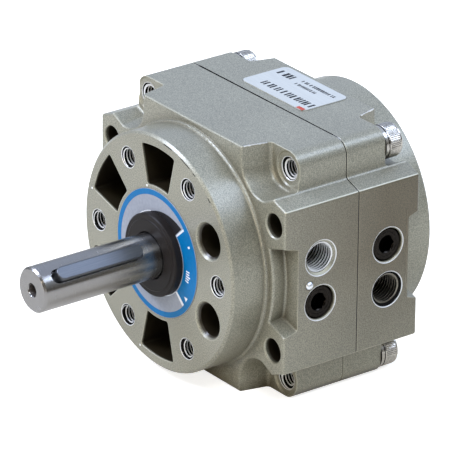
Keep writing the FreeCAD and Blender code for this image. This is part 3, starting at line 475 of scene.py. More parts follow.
    # The skin of a die casting: shallow waves some 3 mm wide under the paint, and the flake's own fine grain.
    skin = add_node(tree, "ShaderNodeTexNoise", {"Scale": per_mm(3.0), "Detail": 2.0}, {"Vector": point})
    waves = add_node(
        tree, "ShaderNodeBump", {"Strength": 0.2, "Distance": 0.04 * MM},
        {"Height": skin.outputs[0], "Normal": rounded.outputs[0]})
    fine = add_node(
        tree, "ShaderNodeBump", {"Strength": 0.2, "Distance": 0.015 * MM},
        {"Height": flake.outputs[0], "Normal": waves.outputs[0]})
    tree.links.new(fine.outputs[0], shader.inputs["Normal"])
    return material


def turned_metal(name, dark, light, roughness, ring, axis_scale, depth, edge, spun=0.0, metallic=1.0):
    """Metal with fine turning or grinding marks; spun metal spreads its reflections along the shaft.

    Ring is the width of a mark, depth its relief and edge the radius of the edges, all in millimetres.
    """
    material, tree, shader = new_material(
        name, Metallic=metallic, Anisotropic=spun, Anisotropic_Rotation=0.25 if spun else 0.0)
    if spun:
        round_shaft = add_node(tree, "ShaderNodeTangent", direction_type="RADIAL", axis="Y")
        tree.links.new(round_shaft.outputs[0], shader.inputs["Tangent"])
    point = add_node(tree, "ShaderNodeTexCoord").outputs["Object"]
    stretched = add_node(tree, "ShaderNodeMapping", {"Scale": axis_scale}, {"Vector": point})
    marks = add_node(
        tree, "ShaderNodeTexNoise", {"Scale": per_mm(ring), "Detail": 3.0, "Roughness": 0.6},
        {"Vector": stretched.outputs[0]})
    grained(
        tree, shader, marks.outputs[0], ((0.32, dark), (0.68, light)),
        (roughness * 0.92, roughness * 1.1), (0.35, depth, edge))
    return material


def moulded(name, colour, roughness, grain, depth, **inputs):
    """Moulded plastic or rubber with the fine grain of its mould."""
    material, tree, shader = new_material(name, **inputs)
    point = add_node(tree, "ShaderNodeTexCoord").outputs["Object"]
    noise = add_node(tree, "ShaderNodeTexNoise", {"Scale": per_mm(grain), "Detail": 3.0}, {"Vector": point})
    grained(
        tree, shader, noise.outputs[0], ((0.3, shade(colour, 0.85)), (0.7, shade(colour, 1.15))),
        (roughness - 0.05, roughness + 0.05), (0.3, depth, 0.4))
    return material


def printed(name, colour, roughness=0.42):
    """Screen-printed ink on film: flat colour with a faint mottle of the ink."""
    material, tree, shader = new_material(name, Roughness=roughness, Specular_IOR_Level=0.2)
    point = add_node(tree, "ShaderNodeTexCoord").outputs["Object"]
    noise = add_node(tree, "ShaderNodeTexNoise", {"Scale": per_mm(1.2), "Detail": 2.0}, {"Vector": point})
    grained(tree, shader, noise.outputs[0], ((0.3, shade(colour, 0.93)), (0.7, shade(colour, 1.05))))
    return material


def cut_aluminium(settings):
    """Aluminium as the cutter leaves it, and the painted shade between the crests of its threads."""
    # Fresh cuts scatter the light, so they look almost white from every side.
    fresh = turned_metal(
        "bare_cut_aluminium", shade(settings.metal, 0.85), tuple(settings.metal),
        0.30, 0.5, (1, 1, 1), 0.006, 0.06, metallic=0.35)
    # Painted shade: a nearly black skin between the crests.
    root = moulded("painted_shade_in_thread_roots", srgb("#0a0907"), 0.8, 0.5, 0.01, Specular_IOR_Level=0.1)
    return fresh, root


def foil(settings):
    """Pale printed polyester foil: satin, with a faint brushed grain of about half a millimetre."""
    material, tree, shader = new_material(
        "printed_polyester_foil", Metallic=0.15, Coat_Weight=0.3, Coat_Roughness=0.25)
    point = add_node(tree, "ShaderNodeTexCoord").outputs["Object"]
    stretched = add_node(tree, "ShaderNodeMapping", {"Scale": (0.05, 1, 1)}, {"Vector": point})
    grain = add_node(
        tree, "ShaderNodeTexNoise", {"Scale": per_mm(0.5), "Detail": 2.0}, {"Vector": stretched.outputs[0]})
    grained(
        tree, shader, grain.outputs[0],
        ((0.3, shade(settings.foil, 0.95)), (0.7, shade(settings.foil, 1.04))), (0.30, 0.38))
    return material


def floor_paper():
    """White paper that keeps a light shadow, is white to the camera and adds a little warmth to gloss."""
    material = bpy.data.materials.new("white_paper")
    material.use_nodes = True
    tree = material.node_tree
    tree.nodes.clear()
    point = add_node(tree, "ShaderNodeTexCoord").outputs["Object"]
    fibre = add_node(tree, "ShaderNodeTexNoise", {"Scale": per_mm(8.0), "Detail": 2.0}, {"Vector": point})
    tone = add_node(
        tree, "ShaderNodeValToRGB", links={0: fibre.outputs[0]},
        stops=((0.3, srgb("#d8d3c8")), (0.7, srgb("#dcd7cc"))))
    paper = add_node(tree, "ShaderNodeBsdfDiffuse", links={"Color": tone.outputs[0]})
    rays = add_node(tree, "ShaderNodeLightPath")
    white = add_node(tree, "ShaderNodeEmission", {"Color": srgb("#ffffff"), "Strength": 0.78})
    pale = add_node(tree, "ShaderNodeEmission", {"Color": srgb("#fff1dd"), "Strength": 0.05})
    none = add_node(tree, "ShaderNodeEmission", {"Strength": 0.0})
    shine = add_node(
        tree, "ShaderNodeMixShader",
        links={0: rays.outputs["Is Glossy Ray"], 1: none.outputs[0], 2: pale.outputs[0]})
    glow = add_node(
        tree, "ShaderNodeMixShader",
        links={0: rays.outputs["Is Camera Ray"], 1: shine.outputs[0], 2: white.outputs[0]})
    both = add_node(tree, "ShaderNodeAddShader", links={0: paper.outputs[0], 1: glow.outputs[0]})
    add_node(tree, "ShaderNodeOutputMaterial", links={"Surface": both.outputs[0]})
    return material


def studio_world(strength):
    """Soft light, cool and bright from above and warm and dim from the side, with white behind the object."""
    world = bpy.data.worlds.new("studio_world")
    world.use_nodes = True
    tree = world.node_tree
    tree.nodes.clear()
    way = add_node(tree, "ShaderNodeTexCoord").outputs["Generated"]
    high = add_node(
        tree, "ShaderNodeVectorMath", {1: (-0.25, 0.35, 0.9)}, {0: way}, operation="DOT_PRODUCT")
    sky = add_node(
        tree, "ShaderNodeValToRGB", links={0: high.outputs["Value"]},
        stops=((0.0, srgb("#5e574a")), (0.4, srgb("#a6adb6")), (0.8, srgb("#d3e2ff"))))
    rays = add_node(tree, "ShaderNodeLightPath")
    lit = add_node(tree, "ShaderNodeBackground", {"Strength": strength}, {"Color": sky.outputs[0]})
    white = add_node(tree, "ShaderNodeBackground", {"Color": srgb("#ffffff"), "Strength": 1.0})
    seen = add_node(
        tree, "ShaderNodeMixShader",
        links={0: rays.outputs["Is Camera Ray"], 1: lit.outputs[0], 2: white.outputs[0]})
    add_node(tree, "ShaderNodeOutputWorld", links={"Surface": seen.outputs[0]})
    return world


def dress(material, *names):
    """Gives CAD nodes their finish."""
    for name in names:
        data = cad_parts[name].data
        data.materials.clear()
        data.materials.append(material)


# Meshes

class Shell:
    """Points and faces of one piece, in millimetres."""

    def __init__(self):
        self.points = []
        self.faces = []

    def add(self, points, faces):
        first = len(self.points)
        self.points += [tuple(p) for p in points]
        self.faces += [tuple(first + i for i in face) for face in faces]

    def sweep(self, sections, closed):
        """Skin through closed cross-sections with the same number of points, with end caps unless closed."""
        n = len(sections[0])
        points = [p for section in sections for p in section]
        faces = []
        count = len(sections)
        for i in range(count if closed else count - 1):
            a = i * n
            b = (i + 1) % count * n
            for j in range(n):
                k = (j + 1) % n
                faces.append((a + j, a + k, b + k, b + j))
        if not closed:
            faces.append(tuple(reversed(range(n))))
            faces.append(tuple(range((count - 1) * n, count * n)))
        self.add(points, faces)

    def revolve(self, profile, place, steps=64):
        """Closed ring from (radius, depth) points about an axis."""
        sections = []
        for i in range(steps):
            turn = 2 * math.pi * i / steps
            sections.append([place @ Vector((r * math.cos(turn), r * math.sin(turn), d)) for r, d in profile])
        self.sweep(sections, True)

    def thread(self, place, wall_r, crest_r, pitch, start, length, cone, slope, steps=40):
        """Helical crest down the wall of a hole, from a start on its chamfer.

        The chamfer ends at the depth called cone, and slope is its width for each millimetre of depth.
        The crest rises and dies out over two fifths of a turn.
        """
        sections = []
        total = int(length / pitch * steps)
        for i in range(total + 1):
            turn = 2 * math.pi * i / steps
            depth = start + pitch * i / steps
            fade = min(1.0, i / (steps * 0.4), (total - i) / (steps * 0.4))
            base = wall_r + slope * max(0.0, cone - depth)
            crest = base - (base - crest_r) * max(fade, 0.02)
            half = CREST_HALF * pitch
            ridge = ((base + 0.08, depth + half), (base + 0.08, depth - half), (crest, depth))
            sections.append([
                place @ Vector((r * math.cos(turn), r * math.sin(turn), d)) for r, d in ridge])
        self.sweep(sections, False)

    def slab(self, outline, place, low, high):
        """Flat plate from a convex or simple outline in the plane of a place."""
        n = len(outline)
        points = [place @ Vector((u, v, d)) for d in (low, high) for u, v in outline]
        faces = [tuple(reversed(range(n))), tuple(range(n, 2 * n))]
        faces += [(i, (i + 1) % n, n + (i + 1) % n, n + i) for i in range(n)]
        self.add(points, faces)

    def arc_band(self, inner, outer, start, end, place, low, high, steps=None):
        """Flat curved plate between two radii (numbers or functions of the angle in degrees)."""
        steps = steps or max(2, int(abs(end - start) / 3))
        sections = []
        for i in range(steps + 1):
            degrees = start + (end - start) * i / steps
            turn = math.radians(degrees)
            radii = [r(degrees) if callable(r) else r for r in (inner, outer)]
            sections.append([
                place @ Vector((r * math.cos(turn), r * math.sin(turn), d))
                for r, d in ((radii[0], low), (radii[1], low), (radii[1], high), (radii[0], high))])
        self.sweep(sections, False)

    def build(self, name, material, body, smooth=None):
        """Makes the object in metres and rides it on its body."""
        mesh = bpy.data.meshes.new(name)
        mesh.from_pydata([tuple(c * MM for c in p) for p in self.points], [], self.faces)
        mesh.validate()
        mesh.update()
        mesh.materials.append(material)
        piece = bpy.data.objects.new(name, mesh)
        bpy.context.scene.collection.objects.link(piece)
        if smooth is not None:
            mesh.shade_smooth()
            mesh.set_sharp_from_angle(angle=math.radians(smooth))
        fix_outsides(mesh)
        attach(piece, body)
        return piece


def fix_outsides(mesh):
    """Turns every face outwards."""
    work = bmesh.new()
    work.from_mesh(mesh)
    bmesh.ops.recalc_face_normals(work, faces=work.faces)
    work.to_mesh(mesh)
    work.free()


def bright_lip(outer, inner, depth, width):
    """Profile of the bare skin on the outer part of a chamfered mouth, just proud of the casting's cone."""
    share = width / (outer - inner)
    end_r = outer - width
    return (
        (outer + 0.06, -0.03), (outer - 0.03, -0.03), (end_r - 0.05, depth * share - 0.01),
        (end_r + 0.1, depth * share + 0.15), (outer + 0.1, 0.2))


def shaded_root(outer, inner, depth, lip, length):
    """Profile of the dark skin of painted shade from the lip down the wall of a tapped hole."""
    share = lip / (outer - inner)
    start_r = outer - lip
    return (
        (start_r - 0.045, depth * share), (inner - 0.03, depth), (inner - 0.03, length),
        (inner + 0.05, length), (inner + 0.05, depth + 0.1), (start_r + 0.05, depth * share + 0.1))


def into(x, y, z, direction):
    """Place whose third axis runs into a hole from its mouth, with the second kept level where it can be."""
    third = Vector(direction).normalized()
    first = Vector((1, 0, 0)) if abs(third.y) > 0.5 else Vector((0, 1, 0))
    second = third.cross(first)
    turn = Matrix((first, second, third)).transposed().to_4x4()
    return Matrix.Translation((x, y, z)) @ turn


def on_face(y, radius=0.0, degrees=0.0):
    """Point of a round face at a radius and an angle from +X towards +Z."""
    turn = math.radians(degrees)
    return (radius * math.cos(turn), y, radius * math.sin(turn))


def on_pad(z):
    """Place level with the top pad at a height."""
    return Matrix.Translation((0, 0, z))


def rectangle(x, y, width, height):
    """Corners of a rectangle from its lower left one."""
    return [(x, y), (x + width, y), (x + width, y + height), (x, y + height)]


# Small marks on the castings

def flash_line(enamel, rng):
    """Low, uneven ridge under the paint of the port face, where the halves of the die met."""
    points = []
    z, foot = FLASH_Z
    while z > foot:
        points.append((FLASH_Y + rng.uniform(-0.3, 0.3), z, rng.uniform(0.18, 0.34)))
        z -= rng.uniform(1.0, 2.2)
    sections = []
    for y, z, half in points:
        corner = [(y - half, -0.02), (y - half * 0.3, 0.07), (y + half * 0.4, 0.05), (y + half, -0.02)]
        sections.append([Vector((PORT_FACE_X + rise, along, z)) for along, rise in corner])
    flash = Shell()
    flash.sweep(sections, False)
    flash.build("port_face_flash", enamel, "housing", smooth=50)


def joint_shade_strip(half):
    """Black strip in the joint across the top pad, a little narrower on the right: painted shade for the
    groove.
    """
    outline = [(-PAD_HALF, PARTING_Y - half), (PAD_HALF, PARTING_Y - half * 0.7)]
    outline += [(PAD_HALF, PARTING_Y + half * 0.7), (-PAD_HALF, PARTING_Y + half)]
    joint = Shell()
    joint.slab(outline, on_pad(PAD_Z), -0.2, 0.012)
    # It is matt and black, so the joint reads as one dark line of painted shade.
    joint_strip = moulded("black_joint_shade", srgb("#080807"), 0.85, 0.5, 0.01, Specular_IOR_Level=0.1)
    joint.build("top_joint_shade", joint_strip, "housing")


def rim_marks():
    """Short dark chips on the upper right rim of the front face, each from one angle to another."""
    face = into(0, FACE_Y, 0, (0, -1, 0))
    marks = Shell()
    for start, end in ((85.5, 79.0), (72.0, 64.5), (61.5, 59.5), (47.0, 44.5)):
        marks.arc_band(FACE_R - 1.4, FACE_R - 1.0, start, end, face, -0.02, 0.03)
    # A chip is seen only as the dull shadow in it.
    chipped = printed("chipped_paint_shadow", srgb("#2b2822"), 0.7)
    marks.build("face_rim_marks", chipped, "housing")


def corner_glints(bare_and_highlit):
    """Small bright domes at three corners of the front face, each at a radius and an angle: painted glints.
    """
    profile = ((0.02, -0.22), (0.25, -0.17), (0.45, 0.02), (0.3, 0.1), (0.02, 0.1))
    glint_domes = Shell()
    for radius, degrees in ((41.9, 164.6), (25.0, 105.2), (41.9, 255.4)):
        glint_domes.revolve(profile, into(*on_face(FACE_Y, radius, degrees), (0, 1, 0)), 16)
    glint_domes.build("window_corner_glints", bare_and_highlit, "housing", smooth=60)


def pocket_edge_strips(bare_and_highlit, rng):
    """Uneven strips of bare metal along the upper edges of the corner pockets: wear with a painted highlight.
    """
    strips = Shell()
    for mouth, floor in POCKET_EDGES:
        sections = []
        for i in range(21):
            x, y = (a + (b - a) * i / 20 for a, b in zip(mouth, floor))
            wide = rng.uniform(0.2, 0.6)
            down = PAD_Z - rng.uniform(0.15, 0.45)
            corner = (
                (x - wide, PAD_Z - 0.02), (x - wide * 0.8, PAD_Z + 0.025), (x + 0.03, PAD_Z + 0.025),
                (x + 0.03, down), (x - 0.1, down))
            sections.append([Vector((across, y, up)) for across, up in corner])
        strips.sweep(sections, False)
    strips.build("pocket_edge_bright_strips", bare_and_highlit, "housing", smooth=60)


# Stage

def lay_floor(scene):
    """Large square of paper under the lowest point of the object."""
    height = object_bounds()[0][2]
    reach = 6.0
    mesh = bpy.data.meshes.new("studio_floor")
    mesh.from_pydata(
        [(x * reach, y * reach, height) for x, y in ((-1, -1), (1, -1), (1, 1), (-1, 1))],
        [], [(0, 1, 2, 3)])
    mesh.materials.append(floor_paper())
    floor = bpy.data.objects.new("studio_floor", mesh)
    scene.collection.objects.link(floor)
    floor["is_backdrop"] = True


def hang_lamps(scene, power):
    """Soft square lamps, the key one above the front left and the others as shares of its power."""
    # Name, place, aim and size in metres, share of the power, and colour of each lamp
    for name, place, aim, size, share, colour in (
        ("key_lamp", (-1.15, -1.3, 1.75), (0, 0.03, 0), (0.9, 0.9), 1.0, "#d6e1fb"),
        ("fill_lamp", (0.95, -0.45, 1.4), (0, 0.03, 0), (0.6, 0.6), 0.33, "#e4ebf6"),
        ("front_lamp", (0.2, -2.0, 0.5), (0, 0.03, 0), (0.8, 0.5), 0.20, "#fff2e0"),
        ("back_lamp", (0.75, 1.15, 1.4), (0, 0.05, 0), (0.8, 0.6), 0.17, "#cfe0ff"),
    ):
        lamp = bpy.data.lights.new(name, "AREA")
        lamp.shape = "RECTANGLE"
        lamp.size, lamp.size_y = size
        lamp.energy = power * share
        lamp.color = srgb(colour)[:3]
        holder = bpy.data.objects.new(name, lamp)
        scene.collection.objects.link(holder)
        holder.location = place
        holder.rotation_euler = (Vector(aim) - Vector(place)).to_track_quat("-Z", "Y").to_euler()


def stand_camera(scene, settings):
    """Long lens at the photograph's angle, aimed at the middle of its picture."""
    out = Vector((
        math.sin(settings.turn) * math.cos(settings.height),
        -math.cos(settings.turn) * math.cos(settings.height),
        math.sin(settings.height)))
    level = (-out).cross(Vector((0, 0, 1))).normalized()
    upright = level.cross(-out)
    roll_cos, roll_sin = math.cos(settings.roll), math.sin(settings.roll)
    right = level * roll_cos + upright * roll_sin
    above = upright * roll_cos - level * roll_sin
    along, across, up = CAMERA_AIM
    middle = Vector((0, along, 0)) * MM + right * across * MM + above * up * MM
    camera = bpy.data.cameras.new("camera")
    camera.lens = settings.lens
    camera.sensor_width = 36
    camera.clip_end = 20
    holder = bpy.data.objects.new("camera", camera)
    scene.collection.objects.link(holder)
    turn = Matrix((right, above, out)).transposed().to_4x4()
    holder.matrix_world = Matrix.Translation(middle + out * settings.distance) @ turn
    scene.camera = holder


# Pieces

class VANE_OT_castings(bpy.types.Operator):
    """Paint both castings and add their flash, their joint, and marks of wear with painted shade and
    highlights
    """
    bl_idname = "vane.castings"
    bl_label = "Castings"

    def execute(self, context):
        settings = context.scene.vane_castings
        enamel = champagne_enamel(settings)
        dress(enamel, "front_body", "rear_body")
        rng = random.Random(7)
        flash_line(enamel, rng)
        joint_shade_strip(settings.joint / MM / 2)
        rim_marks()
        # Bright bare aluminium: painted glints at three corners, and worn pocket edges with a painted
        # highlight.
        bare_and_highlit = turned_metal(
            "bare_aluminium_glint", srgb("#e9e9e6"), srgb("#fafaf8"), 0.35, 0.3, (1, 1, 1), 0.002, 0.05)
        corner_glints(bare_and_highlit)
        pocket_edge_strips(bare_and_highlit, rng)
        return {"FINISHED"}


class VANE_OT_screw_threads(bpy.types.Operator):
    """Cut metal in the tapped holes: a chamfer ring at each mouth and the thread below it"""
    bl_idname = "vane.screw_threads"
    bl_label = "Screw threads"

    def execute(self, context):
        settings = context.scene.vane_threads
        bright, root = cut_aluminium(settings)
        pitch = settings.screw_pitch / MM
        # Each group: name, places, radii of the mouth and the wall, depth of the chamfer, width of its
        # bright lip and length of the thread
        groups = []
        for name, y, way, wall in (
            ("front_screw", FACE_Y, 1, SCREW_R),
            ("rear_screw", REAR_FACE_Y, -1, REAR_SCREW_R),
        ):
            places = [into(*on_face(y, SCREW_CIRCLE_R, 60 * i), (0, way, 0)) for i in range(6)]
            groups.append(
                (name, places, wall + SCREW_RIM_WIDTH, wall, SCREW_RIM_DEPTH, 0.17, SCREW_LENGTH))
        places = [
            into(x, TIE_BOSS_Y + TIE_SPOT_DEPTH, z, (0, 1, 0))
            for x in (TIE_X, -TIE_X) for z in (TIE_Z, -TIE_Z)]
        groups.append(("tie_hole", places, TIE_MOUTH_R, SCREW_R, TIE_MOUTH_DEPTH, 0.15, TIE_LENGTH))
        for name, places, outer, wall, depth, lip, length in groups:
            mouths = Shell()
            roots = Shell()
            threads = Shell()
            for i, place in enumerate(places):
                # Each tap started at an angle of its own.
                turned_place = place @ Matrix.Rotation(math.radians(47 * i), 4, "Z")
                mouths.revolve(bright_lip(outer, wall, depth, lip), place, 48)
                # Painted shade: a dark skin down the wall of the hole.
                roots.revolve(shaded_root(outer, wall, depth, lip, length), place, 48)
                threads.thread(
                    turned_place, wall - 0.05, wall - 0.5, pitch, depth * lip / (outer - wall) + 0.1,
                    length - depth - 0.5, depth, (outer - wall) / depth)
            mouths.build(name + "_mouths", bright, "housing", smooth=30)
            roots.build(name + "_roots", root, "housing", smooth=30)
            threads.build(name + "_threads", bright, "housing", smooth=30)
        return {"FINISHED"}


class VANE_OT_port_threads(bpy.types.Operator):
    """Pipe threads of the two open ports and the chamfer rings of all four"""
    bl_idname = "vane.port_threads"
    bl_label = "Port threads"

    def execute(self, context):
        settings = context.scene.vane_threads
        bright, root = cut_aluminium(settings)
        # Painted shade: a darker, grey brown copy of the same metal for the rear port, with sharp glints on
        # the crests.
        shaded_metal = turned_metal(
            "shaded_tapped_aluminium", shade(settings.shaded_metal, 0.7), tuple(settings.shaded_metal),
            0.32, 0.5, (1, 1, 1), 0.01, 0.06)
        pitch = settings.port_pitch / MM
        mouths = Shell()
        roots = Shell()
        # Painted shade: the rear port is dark up to its lip, the front one only below its chamfer.
        for (y, z), metal, name, unshaded_lip in zip(OPEN_PORTS, (bright, shaded_metal), ("front", "rear"), (1.2, 0.25)):
            place = into(PORT_FACE_X, y, z, (-1, 0, 0))
            mouths.revolve(bright_lip(PORT_MOUTH_R, PORT_WALL_R, PORT_MOUTH_DEPTH, 0.25), place)
            roots.revolve(shaded_root(PORT_MOUTH_R, PORT_WALL_R, PORT_MOUTH_DEPTH, unshaded_lip, PORT_LENGTH), place)
            threads = Shell()
            far_side = place @ Matrix.Rotation(math.pi, 4, "Z")
            threads.thread(
                far_side, PORT_WALL_R - 0.05, PORT_CREST_R, pitch, 0.35, PORT_LENGTH - 0.55,
                PORT_MOUTH_DEPTH, PORT_SLOPE, 56)
            threads.build(name + "_port_threads", metal, "housing", smooth=30)
        for y, z in PLUGGED_PORTS:
            place = into(PORT_FACE_X, y, z, (-1, 0, 0))
            mouths.revolve(bright_lip(PORT_MOUTH_R, PLUG_SEAT_R, PLUG_SEAT_DEPTH, 0.2), place)
        mouths.build("port_mouths", bright, "housing", smooth=30)
        roots.build("port_roots", root, "housing", smooth=30)
        return {"FINISHED"}


class VANE_OT_port_plugs(bpy.types.Operator):
    """Black oxide plugs and the bright ball that closes the drilled passage"""
    bl_idname = "vane.port_plugs"
    bl_label = "Plugs and ball"

    def execute(self, context):
        # Oiled black oxide is nearly black, with soft grey glints along its turning marks.
        black = turned_metal(
            "black_oxide_steel", srgb("#1d1a17"), srgb("#2e2a26"), 0.22, 0.8, (1, 1, 1), 0.01, 0.3)
        dress(black, "front_port_plug", "rear_port_plug")
        # A low ring on the face of a plug, round its socket, as radius and depth
        ring = ((4.35, 0.05), (4.5, -0.10), (4.7, -0.10), (4.85, 0.05))
        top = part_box("front_port_plug")[1].x / MM
        rings = Shell()
        for y, z in PLUGGED_PORTS:
            rings.revolve(ring, into(top, y, z, (-1, 0, 0)), 48)
        rings.build("plug_turned_rings", black, "housing", smooth=30)
        # A polished ball mirrors the sky, so it reads as a white dot.
        ball = turned_metal(
            "polished_bearing_steel", srgb("#e6eaee"), srgb("#fafcfe"), 0.28, 1.5, (1, 1, 1), 0.002, 0.02)
        dress(ball, "passage_ball", "front_bearing_balls", "rear_bearing_balls")
        return {"FINISHED"}


class VANE_OT_tie_bolts(bpy.types.Operator):
    """Bright plated tie bolts with a knurled band round each head, and their spring washers"""
    bl_idname = "vane.tie_bolts"
    bl_label = "Tie bolts"

    def execute(self, context):
        settings = context.scene.vane_bolts
        # Bright nickel mirrors what is round it, so light bands lie beside dark ones.
        plated = turned_metal(
            "bright_nickel_plated_steel", shade(settings.chrome, 0.6), tuple(settings.chrome),
            0.20, 1.0, (1, 1, 1), 0.006, 0.25)
        bolts = ["tie_bolt_%d" % i for i in range(1, 5)]
        dress(plated, *bolts, *("spring_washer_%d" % i for i in range(1, 5)))
        knurls = Shell()
        ridge = settings.ridge / MM
        for name in bolts:
            low, high = (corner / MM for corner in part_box(name))
            middle = (low + high) / 2
            head_r = (high.x - low.x) / 2
            place = into(middle.x, high.y, middle.z, (0, -1, 0))
            # One section for each crest and each valley, from 0.9 to 5.75 mm behind the top of the head
            sections = []
            for i in range(2 * settings.teeth):
                turn = math.pi * i / settings.teeth
                out = ridge if i % 2 else 0.02
                profile = ((-0.1, 0.9), (out, 1.15), (out, 5.5), (-0.1, 5.75))
                sections.append([
                    place @ Vector(((head_r + r) * math.cos(turn), (head_r + r) * math.sin(turn), d))
                    for r, d in profile])
            knurls.sweep(sections, True)
        knurls.build("tie_bolt_knurls", plated, "housing", smooth=20)
        half = 0.16
        gaps = Shell()
        for i in range(1, 5):
            low, high = (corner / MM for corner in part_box("spring_washer_%d" % i))
            middle = (low + high) / 2
            outer = (high.x - low.x) / 2
            band = (
                (outer - 0.2, -half), (outer + 0.05, -half), (outer + 0.05, half), (outer - 0.2, half))
            for y in (low.y + half, high.y):
                gaps.revolve(band, into(middle.x, y, middle.z, (0, 1, 0)), 48)
        # Painted shade: a dull dark line in the gap on both sides of a washer.
        gap_shade = moulded("painted_shade_round_the_washer", srgb("#0d0c0a"), 0.8, 0.4, 0.01, Specular_IOR_Level=0.1)
        gaps.build("washer_gap_shade", gap_shade, "housing", smooth=30)
        return {"FINISHED"}


class VANE_OT_shaft(bpy.types.Operator):
    """Ground shaft, drawn key and the rubber of the vane"""
    bl_idname = "vane.shaft"
    bl_label = "Shaft and key"

    def execute(self, context):
        # Round grinding leaves rings about 0.1 mm apart, drawn 0.3 mm apart so that they show.
        # They spread the highlight into a soft band along the shaft.
        ground = turned_metal(
            "cylindrically_ground_steel", srgb("#96938f"), srgb("#9d9a97"),
            0.25, 0.3, (0.08, 1, 0.08), 0.0005, 0.25, spun=0.7)
        dress(ground, "vane_shaft")
        drill = Shell()
        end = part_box("vane_shaft")[0].y / MM
        drill.revolve(
            shaded_root(DRILL_MOUTH_R, DRILL_R, DRILL_CONE, 0.25, DRILL_LENGTH), into(0, end, 0, (0, 1, 0)), 48)
        # Painted shade: a brown skin darkens the centre drill, with a faint gleam.
        hollow_shade_colour = moulded("painted_shade_in_centre_drill", srgb("#2a2119"), 0.5, 0.5, 0.01)
        drill.build("centre_drill_shade", hollow_shade_colour, "shaft", smooth=30)
        # Drawing leaves fine lines along the key, so it is greyer and duller than the shaft.
        drawn = turned_metal(
            "bright_drawn_key_steel", srgb("#5d6065"), srgb("#6a6d72"),
            0.41, 0.5, (1, 0.06, 1), 0.001, 0.35)
        dress(drawn, "shaft_key")
        # Nitrile rubber is matt and nearly black.
        rubber = moulded("moulded_nitrile_rubber", srgb("#1b1a19"), 0.62, 0.4, 0.02)
        dress(rubber, "vane_jacket", "stopper_seal", "body_oring", "front_shaft_oring", "rear_shaft_oring")
        return {"FINISHED"}


class VANE_OT_bearings(bpy.types.Operator):
    """Inner metal parts: bearing rings and cages, seal rings and the stopper"""
    bl_idname = "vane.bearings"
    bl_label = "Bearings and stopper"

    def execute(self, context):
        # Ground and hardened steel has a cool, sharp shine.
        rings = turned_metal(
            "hardened_bearing_steel", srgb("#a8a9ab"), srgb("#c6c7c9"),
            0.22, 0.4, (0.1, 1, 0.1), 0.004, 0.2)
        dress(rings, *(end + "_bearing_" + ring for end in ("front", "rear") for ring in ("outer", "inner")))
        # Polyamide is a cream plastic with a soft sheen.
        cage = moulded("moulded_polyamide", srgb("#cfc4a0"), 0.45, 0.5, 0.01)
        dress(cage, "front_bearing_cage", "rear_bearing_cage")
        # Turned aluminium is pale, and its rings give it a silky sheen.
        machined = turned_metal(
            "machined_aluminium", srgb("#a9a8a3"), srgb("#c4c3bf"),
            0.30, 0.5, (0.15, 1, 0.15), 0.01, 0.2)
        dress(machined, "stopper", "front_seal_ring", "rear_seal_ring")
        return {"FINISHED"}


class VANE_OT_caps(bpy.types.Operator):
    """Charcoal moulded caps round the shaft"""
    bl_idname = "vane.caps"
    bl_label = "Caps"

    def execute(self, context):
        # Charcoal acetal is smooth but dull, so it shows only a faint, wide highlight.
        plastic = moulded(
            "moulded_charcoal_acetal", srgb("#231f1d"), 0.42, 0.35, 0.004, Specular_IOR_Level=0.12)
        dress(plastic, "front_cap", "rear_cap")
        return {"FINISHED"}


class VANE_OT_dial(bpy.types.Operator):
    """Dial of the front face: printed ring, sector and ticks, a dark crescent, and a painted highlight on the
    film's inner edge
    """
    bl_idname = "vane.dial"
    bl_label = "Dial"

    def execute(self, context):
        settings = context.scene.vane_dial
        # The film and its inks are matt, so their colours stay flat and even.
        dress(printed("dial_film_grey_lilac", settings.field), "dial_label")
        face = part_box("dial_label")[0].y / MM
        place = into(0, face, 0, (0, -1, 0))
        top = settings.ink / MM
        inner, outer = RING_R
        blue = Shell()
        blue.revolve(((inner, -0.02), (outer, -0.02), (outer, top), (inner, top)), place, 96)
        blue.arc_band(*SECTOR_R, -SECTOR_HALF, SECTOR_HALF, place, -0.02, top)
        blue.build("dial_blue", printed("dial_blue_ink", settings.blue), "housing")
        # The crescent is widest at the sector and comes to a point at its far end.
        start, end = 45, 104
        dark = Shell()
        dark.arc_band(
            15.64, lambda a: 15.7 + 4.9 * max(0.0, (end - a) / (end - start)) ** 1.2,
            start, end, place, -0.02, top, 30)
        charcoal = printed("dial_charcoal_crescent", srgb("#222123"), 0.5)
        dark.build("dial_crescent", charcoal, "housing")
        # White: both edges of the sector, a thin inner line that is a painted highlight on the film's cut
        # edge, then the ticks and an arrow on the blue, each from an inner to an outer radius and from one
        # angle to another
        pale = Shell()
        lift = top + 0.02
        pale.arc_band(16.0, 21.7, 41.6, 43.8, place, -0.02, lift, 2)
        pale.arc_band(16.0, 21.7, -44.4, -41.0, place, -0.02, lift, 2)
        # Painted highlight: the thin inner line stands for the light on the film's cut edge round the cap.
        pale.arc_band(15.62, 16.0, 104, 316, place, -0.02, lift)
        for degrees, long in ((-2, 19.6), (-5, 19.6), (-8, 20.2), (-11, 19.6), (-14, 19.6)):
            pale.arc_band(17.7, long, degrees - 0.8, degrees + 0.8, place, top - 0.01, lift, 2)
        pale.arc_band(20.6, 21.8, 24.2, 26.4, place, top - 0.01, lift, 2)
        turn = math.radians(-33.5)
        outwards = Vector((math.cos(turn), math.sin(turn)))
        side = Vector((-outwards.y, outwards.x))
        base = outwards * 21.7
        arrow = [outwards * 19.9, base - side, base + side]
        pale.slab([tuple(corner) for corner in arrow], place, top - 0.01, lift)
        pale.build("dial_white", printed("dial_white_ink_and_edge_highlight", srgb("#e3e6ea")), "housing")
        return {"FINISHED"}


